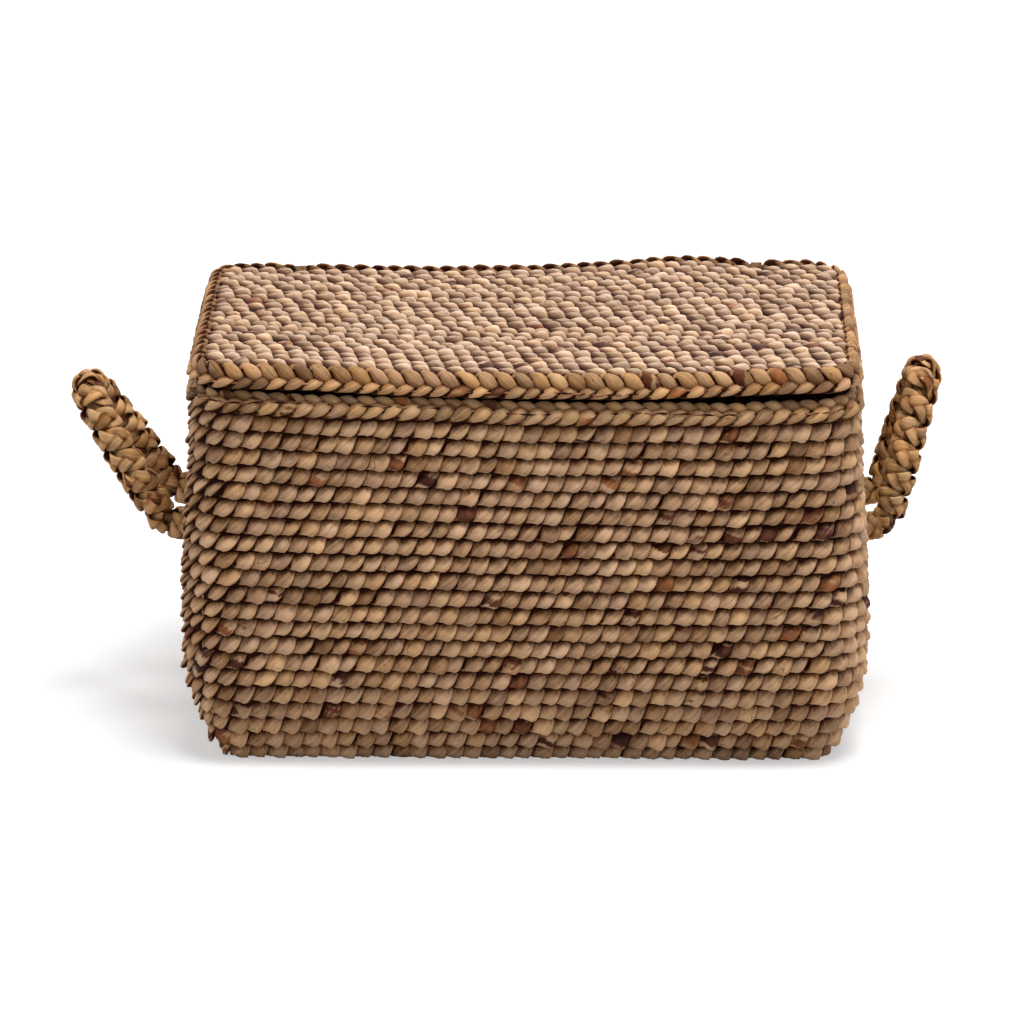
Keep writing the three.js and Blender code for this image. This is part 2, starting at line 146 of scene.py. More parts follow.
class Shader:
    """A node material under construction."""

    def __init__(self, name: str) -> None:
        """Makes an empty node material.

        Args:
            name: the material's name.
        """
        self.material = bpy.data.materials.new(name)
        self.material.use_nodes = True
        self.tree = self.material.node_tree
        self.tree.nodes.clear()

    def node(
        self, kind: str, settings: dict[str, Any], inputs: dict[int | str, Any], output: int | str = 0
    ) -> Value:
        """Adds one node.

        Args:
            kind: the node's type.
            settings: its properties, and "stops" for a ramp's (place, colour) pairs.
            inputs: what each socket holds, by index or name: a Value is linked, anything else is set.
            output: the index or name of the output wanted.

        Returns:
            The output as a Value.
        """
        made = self.tree.nodes.new(kind)
        for key, setting in settings.items():
            if key == "stops":
                self._stops(made.color_ramp, setting)
            else:
                setattr(made, key, setting)
        for key, given in inputs.items():
            if isinstance(given, Value):
                self.tree.links.new(given.socket, made.inputs[key])
            else:
                made.inputs[key].default_value = given
        return Value(self, made.outputs[output])

    @staticmethod
    def _stops(ramp: bpy.types.ColorRamp, stops: list[tuple[float, Colour]]) -> None:
        """Sets a ramp's stops from (place, sRGB colour) pairs."""
        while len(ramp.elements) < len(stops):
            ramp.elements.new(0.5)
        for element, (place, colour) in zip(ramp.elements, stops):
            element.position = place
            element.color = linear(colour)

    def mix(self, factor: Any, first: Any, second: Any) -> Value:
        """A colour that goes from first at factor 0 to second at factor 1."""
        return self.node("ShaderNodeMix", {"data_type": "RGBA"}, {0: factor, 6: first, 7: second}, 2)

    def noise(self, vector: Value, detail: float = 2.0) -> Value:
        """Noise of unit scale on a vector, from 0 to 1."""
        return self.node("ShaderNodeTexNoise", {}, {"Vector": vector, "Scale": 1.0, "Detail": detail})

    def finish(self, sockets: dict[str, Any]) -> bpy.types.Material:
        """Closes the material with a Principled shader.

        Args:
            sockets: the shader's inputs by name.

        Returns:
            The finished material.
        """
        return self.surface(self.node("ShaderNodeBsdfPrincipled", {}, sockets))

    def surface(self, shaded: Value) -> bpy.types.Material:
        """Links a shader to the material's output, and returns the material."""
        output = self.tree.nodes.new("ShaderNodeOutputMaterial")
        self.tree.links.new(shaded.socket, output.inputs["Surface"])
        return self.material


def linear(colour: Colour) -> tuple[float, float, float, float]:
    """An sRGB colour of 0 to 255 as linear RGBA: c/12.92 below 0.04045, else ((c+0.055)/1.055)^2.4."""
    parts = [c / 255 for c in colour]
    made = [c / 12.92 if c <= 0.04045 else ((c + 0.055) / 1.055) ** 2.4 for c in parts]
    return (*made, 1.0)


# Finishes


@dataclass(frozen=True)
class Grain:
    """A noise over two coordinates: their scales, the layer that keeps it apart from others, its detail."""

    first: float
    second: float
    layer: float
    detail: float


@dataclass(frozen=True)
class StalkFinish:
    """Dry twisted plant stalk: a tone and a hue for each lobe, streaks and folds, skin patches, painted shade
    in gaps.
    """

    name: str
    dark: tuple[Colour, Colour, Colour, Colour]
    light: tuple[Colour, Colour, Colour, Colour]
    skin: tuple[Colour, Colour, Colour]
    # the painted shade colour deep in the gaps between lobes
    gap_shade: Colour
    roughness: float = 0.42
    sheen: float = 0.12
    # how much the painted shade towards the gaps deepens and saturates the colour
    shade_deepening: float = 1.05
    fibre_height: float = 0.35 * MM
    girth: float = 24.0 * MM
    slant: float = 1.1
    FIBRE: ClassVar[Grain] = Grain(45.0, 24.0, 1.7, 3.0)
    MOTTLE: ClassVar[Grain] = Grain(150.0, 5.0, 9.1, 2.0)
    FOLD: ClassVar[Grain] = Grain(40.0, 5.5, 57.2, 0.0)
    PATCH: ClassVar[Grain] = Grain(125.0, 26.0, 31.3, 1.0)
    FIBRE_SHADE: ClassVar[float] = 0.8
    MOTTLE_SHADE: ClassVar[float] = 0.45
    SHADE_SPAN: ClassVar[tuple[float, float]] = (-0.1, 1.1)
    RUST_SPREAD: ClassVar[float] = 1.4
    FRAY: ClassVar[float] = 0.3
    SKIN_EDGE: ClassVar[tuple[float, float]] = (0.47, 0.56)
    CREASE_WIDTH: ClassVar[float] = 0.02
    CREASED: ClassVar[tuple[float, float]] = (0.5, 0.65)
    CREASE_DARK: ClassVar[float] = 0.6
    FIBRE_ROUGH: ClassVar[float] = 0.2
    GAP_ROUGH: ClassVar[float] = 0.3
    BUMP: ClassVar[float] = 0.6

    def material(self) -> bpy.types.Material:
        """The finish as a material that reads the strand's UV map and its stalk attribute.

        Returns:
            The material. Each lobe's colour lies between a dark and a light one of its hue, by its tone,
            the fibre streaks and the mottle. Skin patches have frayed edges that slant round the strand,
            because the stalk is twisted as it is laid. The exposure in the stalk attribute paints shade in:
            towards the gaps a colour c deepens to c^(1 + d), as by light that goes from stalk to stalk, and
            then goes over into the painted shade colour of the gaps.
        """
        shader = Shader(self.name)
        attribute = {"attribute_name": StrandMesh.ATTRIBUTE}
        stalk = shader.node("ShaderNodeAttribute", attribute, {})
        hue = shader.node("ShaderNodeAttribute", attribute, {}, "Alpha")
        facts = [shader.node("ShaderNodeSeparateColor", {}, {0: stalk}, k) for k in range(3)]
        tone, patched, painted_light = facts
        place = shader.node("ShaderNodeUVMap", {"uv_map": StrandMesh.UV}, {})
        along, round_it = [shader.node("ShaderNodeSeparateXYZ", {}, {0: place}, k) for k in range(2)]

        def noise(grain: Grain, first: Value, second: Value) -> Value:
            """A grain's noise over two coordinates."""
            scaled = {0: first * grain.first, 1: second * grain.second, 2: grain.layer}
            return shader.noise(shader.node("ShaderNodeCombineXYZ", {}, scaled), grain.detail)

        def ramp(colours: tuple[Colour, ...], factor: Value) -> Value:
            """Colours spread evenly along a factor of 0 to 1."""
            stops = [(k / (len(colours) - 1), colour) for k, colour in enumerate(colours)]
            return shader.node("ShaderNodeValToRGB", {"stops": stops}, {0: factor})

        fibre = noise(self.FIBRE, along, round_it)
        mottle = noise(self.MOTTLE, along, round_it)
        fold = noise(self.FOLD, along, round_it)
        slant = round_it * self.girth + along * self.slant
        skin = noise(self.PATCH, slant, along)
        streak, blotch = fibre - NOISE_MIDDLE, mottle - NOISE_MIDDLE
        shade = tone + streak * self.FIBRE_SHADE + blotch * self.MOTTLE_SHADE
        dry = shader.mix(shade.step(*self.SHADE_SPAN), ramp(self.dark, hue), ramp(self.light, hue))
        rust = ramp(self.skin, blotch * self.RUST_SPREAD + hue)
        frayed = skin + streak * self.FRAY
        skinned = shader.mix((frayed * patched).step(*self.SKIN_EDGE), dry, rust)
        flat = fold.away_from(NOISE_MIDDLE).step(0.0, self.CREASE_WIDTH)
        crease = (1.0 - flat) * mottle.step(*self.CREASED)
        # Thin fold lines darken towards the shade colour of the gaps.
        folded = shader.mix(crease * self.CREASE_DARK, skinned, linear(self.gap_shade))
        # Painted shade: towards the gaps the colour deepens and saturates, as by light between stalks, then
        # goes over into the gaps' shade colour.
        power = 1.0 + (1.0 - painted_light) * self.shade_deepening
        shade_deepened = shader.node("ShaderNodeGamma", {}, {"Color": folded, "Gamma": power})
        colour = shader.mix(painted_light, linear(self.gap_shade), shade_deepened)
        rough = self.roughness + fibre * self.FIBRE_ROUGH + (1.0 - painted_light) * self.GAP_ROUGH
        relief = fibre + mottle - crease
        bump = shader.node(
            "ShaderNodeBump", {}, {"Strength": self.BUMP, "Distance": self.fibre_height, "Height": relief}
        )
        surface = {"Base Color": colour, "Roughness": rough, "Specular IOR Level": self.sheen, "Normal": bump}
        return shader.finish(surface)


@dataclass(frozen=True)
class RattanFinish:
    """Peeled rattan: pale satin cane with fine streaks along its length."""

    name: str = "rattan stake"
    pale: Colour = (176, 146, 104)
    dark: Colour = (128, 98, 62)
    grain: tuple[float, float, float] = (900.0, 900.0, 60.0)
    streaks: tuple[float, float] = (0.3, 0.7)
    roughness: float = 0.35
    fibre_rough: float = 0.25
    fibre_height: float = 0.1 * MM
    bump: float = 0.4

    def material(self) -> bpy.types.Material:
        """The finish as a material on Object coordinates."""
        shader = Shader(self.name)
        place = shader.node("ShaderNodeTexCoord", {}, {}, "Object")
        stretched = shader.node("ShaderNodeMapping", {}, {"Vector": place, "Scale": self.grain})
        fibre = shader.noise(stretched)
        stops = list(zip(self.streaks, (self.dark, self.pale)))
        colour = shader.node("ShaderNodeValToRGB", {"stops": stops}, {0: fibre})
        relief = {"Strength": self.bump, "Distance": self.fibre_height, "Height": fibre}
        bump = shader.node("ShaderNodeBump", {}, relief)
        rough = self.roughness + fibre * self.fibre_rough
        return shader.finish({"Base Color": colour, "Roughness": rough, "Normal": bump})


WALL_FINISH = StalkFinish(
    name="wall stalk",
    dark=((122, 84, 52), (119, 85, 56), (126, 85, 50), (116, 81, 55)),
    light=((215, 173, 133), (211, 173, 139), (221, 177, 131), (207, 168, 137)),
    skin=((62, 30, 22), (98, 55, 34), (150, 95, 58)),
    gap_shade=(40, 10, 2),
)
RIM_FINISH = StalkFinish(
    name="rim stalk",
    dark=((108, 74, 44), (104, 76, 48), (112, 76, 42), (100, 70, 46)),
    light=((203, 160, 116), (199, 161, 122), (209, 165, 113), (195, 155, 119)),
    skin=((66, 32, 22), (104, 58, 34), (156, 98, 58)),
    gap_shade=(40, 10, 2),
)
# Lighter than the wall's colours: painted light for the overhead light that falls on the lid's top.
LID_PAINTED_LIGHT_FINISH = StalkFinish(
    name="lid stalk",
    dark=((132, 98, 72), (129, 100, 76), (136, 100, 69), (125, 95, 75)),
    light=((241, 207, 177), (237, 208, 182), (245, 211, 175), (234, 202, 178)),
    skin=((84, 50, 38), (128, 82, 58), (182, 130, 94)),
    gap_shade=(48, 18, 6),
    sheen=0.25,
    slant=-1.1,
)
BORDER_FINISH = StalkFinish(
    name="border stalk",
    dark=((98, 64, 37), (94, 65, 40), (102, 65, 34), (90, 60, 38)),
    light=((208, 160, 114), (202, 160, 120), (214, 165, 110), (197, 153, 116)),
    skin=((70, 36, 24), (106, 60, 36), (158, 100, 58)),
    gap_shade=(42, 12, 2),
)
HANDLE_FINISH = StalkFinish(
    name="handle plait",
    dark=((112, 74, 40), (108, 75, 43), (116, 75, 35), (102, 68, 42)),
    light=((217, 168, 116), (209, 168, 122), (224, 172, 110), (201, 156, 116)),
    skin=((72, 38, 24), (108, 62, 34), (162, 104, 54)),
    gap_shade=(40, 12, 2),
)
ROPE_FINISH = StalkFinish(
    name="core rope",
    dark=((72, 48, 28), (70, 50, 32), (78, 50, 26), (64, 44, 32)),
    light=((146, 110, 70), (138, 110, 78), (154, 114, 66), (132, 100, 74)),
    skin=((54, 28, 18), (82, 46, 26), (124, 78, 42)),
    gap_shade=(22, 9, 3),
    roughness=0.6,
)
CORD_FINISH = StalkFinish(
    name="sewing cord",
    dark=((108, 66, 46), (106, 68, 50), (112, 68, 46), (102, 62, 46)),
    light=((178, 128, 94), (174, 130, 100), (184, 132, 92), (168, 120, 92)),
    skin=((88, 48, 32), (120, 70, 46), (150, 96, 62)),
    gap_shade=(40, 18, 10),
    roughness=0.55,
    fibre_height=0.1 * MM,
    girth=4.0 * MM,
)


# Curves and strands


def unit(vectors: Array) -> Array:
    """Vectors scaled to length 1."""
    return vectors / np.linalg.norm(vectors, axis=-1, keepdims=True)


def headings(points: Array, closed: bool) -> Array:
    """Unit directions along a line of points, from each point's two neighbours."""
    if closed:
        return unit(np.roll(points, -1, axis=0) - np.roll(points, 1, axis=0))
    return unit(np.gradient(points, axis=0))


def mm(*lengths: float) -> tuple[float, ...]:
    """Lengths given in millimetres, in metres."""
    return tuple(MM * length for length in lengths)


def ease(low: float, high: float, values: Array) -> Array:
    """A smooth step from 0 at low to 1 at high: t^2 (3 - 2t)."""
    part = np.clip((values - low) / (high - low), 0.0, 1.0)
    return part * part * (3.0 - 2.0 * part)


def through(places: tuple[float, ...], values: tuple[float, ...], x: Array) -> Array:
    """A smooth curve through values at places: a cubic between neighbours, with slopes from both sides.

    With t = (x - p) / h in the span h after the place p, it is (1 - t)^2 ((1 + 2t) v + t h m) plus
    t^2 ((3 - 2t) w - (1 - t) h n), for the values v and w and the slopes m and n at the span's ends.

    Args:
        places: rising places along x.
        values: the value at each.
        x: where to evaluate the curve. Outside the places it stays level.

    Returns:
        The curve's values.
    """
    knots, heights = np.array(places), np.array(values)
    slopes = np.gradient(heights, knots)
    low = np.clip(np.searchsorted(knots, x) - 1, 0, len(knots) - 2)
    span = knots[low + 1] - knots[low]
    part = np.clip((x - knots[low]) / span, 0.0, 1.0)
    start = (1.0 + 2.0 * part) * heights[low] + part * span * slopes[low]
    end = (3.0 - 2.0 * part) * heights[low + 1] - (1.0 - part) * span * slopes[low + 1]
    return (1.0 - part) ** 2 * start + part**2 * end


def wander(rng: np.random.Generator, samples: int, knots: int, closed: bool) -> Array:
    """A smooth random walk of -1 to 1: knot values joined by eased ramps.

    Args:
        rng: the seeded generator.
        samples: how many values to return.
        knots: how many random knots they pass through.
        closed: whether the last knot leads back to the first.

    Returns:
        The values, evenly spaced along the run.
    """
    values = rng.uniform(-1.0, 1.0, knots + 1)
    values[knots] = values[0] if closed else values[knots]
    place = np.linspace(0.0, knots, samples, endpoint=not closed)
    low = np.minimum(place.astype(int), knots - 1)
    part = ease(0.0, 1.0, place - low)
    return values[low] * (1.0 - part) + values[low + 1] * part


@dataclass
class Course:
    """A line that strands are laid along: where it runs, and which way is out and across at each sample."""

    centre: Array
    along: Array
    out: Array
    across: Array
    length: float
    closed: bool


@dataclass(frozen=True)
class RoundedLoop:
    """A rounded rectangle in plan, run counter-clockwise from the left end of its front side."""

    half_x: float
    half_y: float
    radius: float

    def _breaks(self) -> Array:
        """Distances at which the straight sides and the corner arcs begin and end."""
        straight_x = 2.0 * (self.half_x - self.radius)
        straight_y = 2.0 * (self.half_y - self.radius)
        corner = math.pi / 2.0 * self.radius
        return np.cumsum([0.0] + [straight_x, corner, straight_y, corner] * 2)

    @property
    def length(self) -> float:
        """Distance once round the loop."""
        return float(self._breaks()[-1])

    def course(self, samples: int, height: float, lean: float = 0.0) -> Course:
        """The loop as a course at a height.

        Each point is q + r n, where q runs along the inner rectangle and waits at its corners while the
        heading turns, and n is the outward normal of that heading.

        Args:
            samples: points round the loop.
            height: z of the loop.
            lean: angle by which the wall leans outwards from upright, in radians.

        Returns:
            The course, with out and across turned by the lean.
        """
        breaks = self._breaks()
        place = np.linspace(0.0, breaks[-1], samples, endpoint=False)
        inner_x, inner_y = self.half_x - self.radius, self.half_y - self.radius
        heading = np.interp(place, breaks, np.radians([0, 0, 90, 90, 180, 180, 270, 270, 360]))
        q_x = np.interp(place, breaks, inner_x * np.array([-1, 1, 1, 1, 1, -1, -1, -1, -1]))
        q_y = np.interp(place, breaks, inner_y * np.array([-1, -1, -1, 1, 1, 1, 1, -1, -1]))
        level = np.zeros(samples)
        normal = np.stack([np.sin(heading), -np.cos(heading), level], axis=1)
        along = np.stack([np.cos(heading), np.sin(heading), level], axis=1)
        centre = np.stack([q_x, q_y, level + height], axis=1) + self.radius * normal
        out = math.cos(lean) * normal - math.sin(lean) * UP
        across = math.sin(lean) * normal + math.cos(lean) * UP
        return Course(centre, along, out, across, self.length, True)


def straight_course(start: Array, end: Array, out: Array, samples: int) -> Course:
    """A straight line from start to end with one outward direction, and across = out x along."""
    part = np.linspace(0.0, 1.0, samples)[:, None]
    along = np.broadcast_to(unit(end - start), (samples, 3))
    outward = np.broadcast_to(out, (samples, 3))
    centre = start + part * (end - start)
    return Course(centre, along, outward, np.cross(outward, along), float(np.linalg.norm(end - start)), False)


def sampled_course(centre: Array, out: Array, closed: bool) -> Course:
    """A course along given points, with the outward direction given at each.

    Args:
        centre: the points, evenly spaced.
        out: outward directions, made square to the line here.
        closed: whether the last point leads back to the first.

    Returns:
        The course, with across = out x along.
    """
    along = headings(centre, closed)
    square = unit(out - along * np.sum(out * along, axis=1, keepdims=True))
    length = float(np.linalg.norm(np.diff(centre, axis=0), axis=1).sum())
    return Course(centre, along, square, np.cross(square, along), length, closed)


@dataclass
class Strand:
    """One stalk: at each sample its middle, the way its flat faces, its half sizes and its look.

    Covered is the share of light that its left side loses under a neighbour, or its right side if negative,
    from that sine of the angle round the strand on, as painted shade in its colour. A two-sided strand shows
    its back behind the course.
    """

    course: Course
    centre: Array
    face: Array
    half_thick: Array
    half_wide: Array
    roll: Array
    look: Array
    depth: "Depth"
    covered: Array | float = 0.0
    covered_from: float = 0.0
    two_sided: bool = False


@dataclass(frozen=True)
class Depth:
    """How far from a course's middle a surface is, as a share of the reach: from deep to open its painted
    shade lightens.

    The share is sqrt((o / out)^2 + (a / across)^2) for a point o out of the middle and a across it. A point
    is also moved out by -tuck a, so that one edge of every lobe stands proud and the other is tucked in. The
    tucked edge loses up to a share of its light by the shade, which is painted into its colour.
    """

    out: float
    across: float
    deep: float
    open: float
    tuck: float = 0.0
    shade: float = 0.0
    shade_from: float = 1.5 * MM
    SHADE_REACH: ClassVar[float] = 5.0 * MM

    def exposure(self, out: Array, across: Array) -> Array:
        """How open to the light the points out of and across the middle are, from 0 deep in the gaps to 1:
        painted shade for their colour.
        """
        share = np.hypot(out / self.out, across / self.across)
        inwards = math.copysign(1.0, self.tuck) * across - self.shade_from
        return ease(self.deep, self.open, share) * (1.0 - self.shade * ease(0.0, self.SHADE_REACH, inwards))


class StrandMesh:
    """Stalk tubes gathered into one mesh, with the UV map and the attribute that their finish reads."""

    ATTRIBUTE = "stalk"
    UV = "strand"
    SQUARENESS = 0.86
    FLANK_DARK = -0.6
    FLANK_OPEN = 0.3

    def __init__(self, sides: int) -> None:
        """Starts an empty mesh whose tubes have that many sides."""
        self.sides = sides
        self.points: list[Array] = []
        self.looks: list[Array] = []
        self.loops: list[Array] = []
        self.starts: list[Array] = []
        self.uvs: list[Array] = []
        self.point_count = 0
        self.loop_count = 0

    def add(self, strand: Strand, offset: float) -> None:
        """Adds one stalk as a tube.

        A point is centre + a c(w) face + b s(w) side, where side = face x direction, a is the half
        thickness, b the half width, and c and s are cos and sin to the power of the squareness. w starts
        opposite the face, so that the UV seam is hidden. Shade is painted into the stalk attribute: the
        flanks of the tube darken towards its back, its covered side darkens, and so do its deep and tucked
        places.

        Args:
            strand: the stalk.
            offset: where its UV map starts along it, which shifts its grain.
        """
        course = strand.course
        rows = len(strand.centre)
        direction = headings(strand.centre, course.closed)
        face = unit(strand.face - direction * np.sum(strand.face * direction, axis=1, keepdims=True))
        side = np.cross(face, direction)
        cos_roll, sin_roll = np.cos(strand.roll)[:, None], np.sin(strand.roll)[:, None]
        rolled_face = cos_roll * face + sin_roll * side
        rolled_side = cos_roll * side - sin_roll * face
        angle = np.linspace(-math.pi, math.pi, self.sides, endpoint=False)
        section = np.stack([np.cos(angle), np.sin(angle)])
        section = np.sign(section) * np.abs(section) ** self.SQUARENESS
        thick = strand.half_thick[:, None, None] * section[0][None, :, None]
        wide = strand.half_wide[:, None, None] * section[1][None, :, None]
        points = strand.centre[:, None] + thick * rolled_face[:, None] + wide * rolled_side[:, None]
        away = points - course.centre[:, None]
        out = np.sum(away * course.out[:, None], axis=2)
        across = np.sum(away * course.across[:, None], axis=2)
        tucked = strand.depth.tuck * across
        points = points - tucked[:, :, None] * course.out[:, None]
        look = np.repeat(strand.look[:, None], self.sides, axis=1)
        # Painted shade: the flanks turned away, the side under a neighbour and the deep or tucked places
        # darken the colour.
        facing = np.cos(angle) * np.sign(out) if strand.two_sided else np.cos(angle)
        flank_painted_light = ease(self.FLANK_DARK, self.FLANK_OPEN, facing)
        covered = np.atleast_1d(strand.covered)[:, None]
        hidden = np.abs(covered) * ease(strand.covered_from, 1.0, np.sign(covered) * np.sin(angle))
        look[:, :, 2] = strand.depth.exposure(out - tucked, across) * flank_painted_light * (1.0 - hidden)
        self.points.append(points.reshape(-1, 3))
        self.looks.append(look.reshape(-1, 4))
        self._bands(strand, rows, offset)
        self.point_count += rows * self.sides

    def _bands(self, strand: Strand, rows: int, offset: float) -> None:
        """Adds the quads between neighbouring rings, and a cap at each end of an open strand."""
        closed = strand.course.closed
        bands = rows if closed else rows - 1
        band, ring = np.meshgrid(np.arange(bands), np.arange(self.sides), indexing="ij")
        corners_row = np.stack([band, band + 1, band + 1, band], axis=2)
        corners_ring = np.stack([ring, ring, ring + 1, ring + 1], axis=2)
        index = (corners_row % rows) * self.sides + corners_ring % self.sides
        steps = np.linalg.norm(np.roll(strand.centre, -1, axis=0) - strand.centre, axis=1)
        travel = offset + np.concatenate([[0.0], np.cumsum(steps)])
        uv = np.stack([travel[corners_row], corners_ring / self.sides], axis=3)
        self._faces(index.reshape(-1, 4), uv.reshape(-1, 4, 2))
        if not closed:
            rim = np.arange(self.sides)
            ends = np.stack([rim, (rows - 1) * self.sides + rim[::-1]])
            places = np.zeros((2, self.sides, 2))
            places[:, :, 0] = np.array([travel[0], travel[rows - 1]])[:, None]
            self._faces(ends, places)

    def _faces(self, index: Array, uv: Array) -> None:
        """Adds faces of equal corner count."""
        count, corners = index.shape
        self.loops.append((index + self.point_count).ravel())
        self.starts.append(self.loop_count + corners * np.arange(count))
        self.uvs.append(uv.reshape(-1, 2))
        self.loop_count += count * corners

    def build(
        self, name: str, material: bpy.types.Material, bend: Callable[[Array], Array]
    ) -> bpy.types.Object:
        """Puts the gathered tubes into an object at the origin.

        Args:
            name: the piece's name.
            material: its finish.
            bend: a map of points to points that gives the piece its settled shape.

        Returns:
            The object, linked to the scene. What would lie below the floor is pressed flat on it.
        """
        points = bend(np.concatenate(self.points))
        points[:, 2] = np.maximum(points[:, 2], 0.0)
        mesh = bpy.data.meshes.new(name)
        mesh.vertices.add(len(points))
        mesh.vertices.foreach_set("co", points.astype(np.float32).ravel())
        starts = np.concatenate(self.starts)
        mesh.loops.add(self.loop_count)
        mesh.loops.foreach_set("vertex_index", np.concatenate(self.loops).astype(np.int32))
        mesh.polygons.add(len(starts))
        mesh.polygons.foreach_set("loop_start", starts.astype(np.int32))
        mesh.polygons.foreach_set("use_smooth", np.ones(len(starts), bool))
        layer = mesh.uv_layers.new(name=self.UV)
        layer.data.foreach_set("uv", np.concatenate(self.uvs).astype(np.float32).ravel())
        looks = mesh.attributes.new(self.ATTRIBUTE, "FLOAT_COLOR", "POINT")
        looks.data.foreach_set("color", np.concatenate(self.looks).astype(np.float32).ravel())
        mesh.materials.append(material)
        mesh.update(calc_edges=True)
        mesh.validate()
        made = bpy.data.objects.new(name, mesh)
        bpy.context.scene.collection.objects.link(made)
        return made


def as_is(points: Array) -> Array:
    """Points left where they are."""
    return points


@dataclass
class Looks:
    """Random looks of the lobes along one strand."""

    rng: np.random.Generator
    patch_share: float
    tone_spread: float = 0.15
    TONE: ClassVar[float] = 0.55
    PATCH_SIZES: ClassVar[tuple[float, float]] = (0.85, 1.12)

    def draw(self, lobe: Array) -> Array:
        """Tone, patch share, a place for the exposure, and hue for each sample, the same all along one lobe.

        Args:
            lobe: the lobe's number at each sample, from 0.

        Returns:
            The looks, one row of four for each sample.
        """
        count = int(lobe.max()) + 1
        tone = np.clip(self.rng.normal(self.TONE, self.tone_spread, count), 0.0, 1.0)
        drawn = self.rng.random(count)
        patched = np.where(drawn < self.patch_share, self.rng.uniform(*self.PATCH_SIZES, count), 0.0)
        return np.stack([tone, patched, np.ones(count), self.rng.random(count)], axis=1)[lobe]


@dataclass
class Turning:
    """The shape of a strand as it turns round its course, at each sample.

    Its place along, out and across as shares of the twist's reach, the angle that its flat faces, its width
    and thickness as shares of the full ones, and how far the flat is rolled about the strand.
    """

    along: Array
    out: Array
    across: Array
    face: Array
    wide: Array
    thick: Array
    roll: Array


@dataclass
class Twist:
    """Strands twisted round each other along a course, as ropes and cords are.

    The amounts in capitals are how far a strand's angle, size, roll, place and reach stray at random.
    """

    rng: np.random.Generator
    lobe_pitch: float
    twist_out: float
    twist_across: float
    half_thick: float
    half_wide: float
    lean: Lean = Lean.RISING
    strands: int = 2
    unevenness: float = 1.0
    patch_share: float = 0.1
    tone_spread: float = 0.15
    cover: float = 0.0
    cover_from: float = 0.0
    DRIFT: ClassVar[float] = 0.4
    SWELL: ClassVar[float] = 0.19
    ROLL: ClassVar[float] = 0.26
    STRAY: ClassVar[float] = 0.09
    HEAVE: ClassVar[float] = 0.18

    def turns(self, length: float) -> int:
        """Whole turns of the twist along a length."""
        return max(1, round(length / (self.lobe_pitch * self.strands)))

    def turning(self, angle: Array) -> Turning:
        """A round twist: cos(a) out and sin(a) across, with the flat facing away from the middle."""
        full = np.ones_like(angle)
        return Turning(0.0 * full, np.cos(angle), np.sin(angle), angle, full, full, 0.0 * full)

    def depth(self) -> Depth:
        """How the strands take painted shade towards the middle of the twist."""
        reach = self.twist_out + self.half_thick
        return Depth(out=reach, across=reach, deep=0.35, open=0.8)

    def ends(self, part: Array, course: Course) -> Array:
        """Size along the run, from 0 at its start to 1 at its end: full all along."""
        return np.ones_like(part)

    def lay(self, mesh: StrandMesh, course: Course, size: Array | float = 1.0) -> None:
        """Lays the strands along a course.

        A strand's middle is centre + p u out + q (v across + w along), where p and q are the twist's
        reach, and u, v and w follow its turning at an angle that grows by a whole turn every lobe pitch
        times the number of strands, with a random drift of the angle, the reach and the strand's size.

        Args:
            mesh: takes the tubes.
            course: the line that the strands twist round.
            size: how much of its full size the twist has at each sample.
        """
        samples = len(course.centre)
        turns = self.turns(course.length)
        closed = course.closed
        part = np.arange(samples) / (samples if closed else samples - 1)
        closing = self.ends(part, course) * size

        def uneven(amount: float) -> Array:
            """A random walk with a knot for every lobe."""
            return amount * self.unevenness * wander(self.rng, samples, 2 * turns, closed)

        drift = uneven(self.DRIFT)
        start = self.rng.uniform(0.0, 2.0 * math.pi)
        for number in range(self.strands):
            swell = closing * (1.0 + uneven(self.SWELL))
            roll = uneven(self.ROLL)
            stray = uneven(self.STRAY)
            out_reach = closing * self.twist_out * (1.0 + uneven(self.HEAVE))
            turn = 2.0 * math.pi * (turns * part + number / self.strands) + drift
            turning = self.turning(self.lean.value * (turn + start))
            lobe = np.floor((turn + start + math.pi / 2.0) / math.pi).astype(int)
            lobe = (lobe - lobe.min()) % (2 * turns + (0 if closed else 4))
            offset = (out_reach * turning.out)[:, None] * course.out
            reach = closing * self.twist_across
            offset = offset + (reach * (turning.across + stray))[:, None] * course.across
            offset = offset + (reach * turning.along)[:, None] * course.along
            face = np.cos(turning.face)[:, None] * course.out + np.sin(turning.face)[:, None] * course.across
            strand = Strand(
                course=course,
                centre=course.centre + offset,
                face=face,
                half_thick=self.half_thick * swell * turning.thick,
                half_wide=self.half_wide * swell * turning.wide,
                roll=roll + turning.roll,
                look=Looks(self.rng, self.patch_share, self.tone_spread).draw(lobe),
                depth=self.depth(),
                covered=self.cover,
                covered_from=self.cover_from,
            )
            mesh.add(strand, self.rng.uniform(0.0, GRAIN_SHIFT))


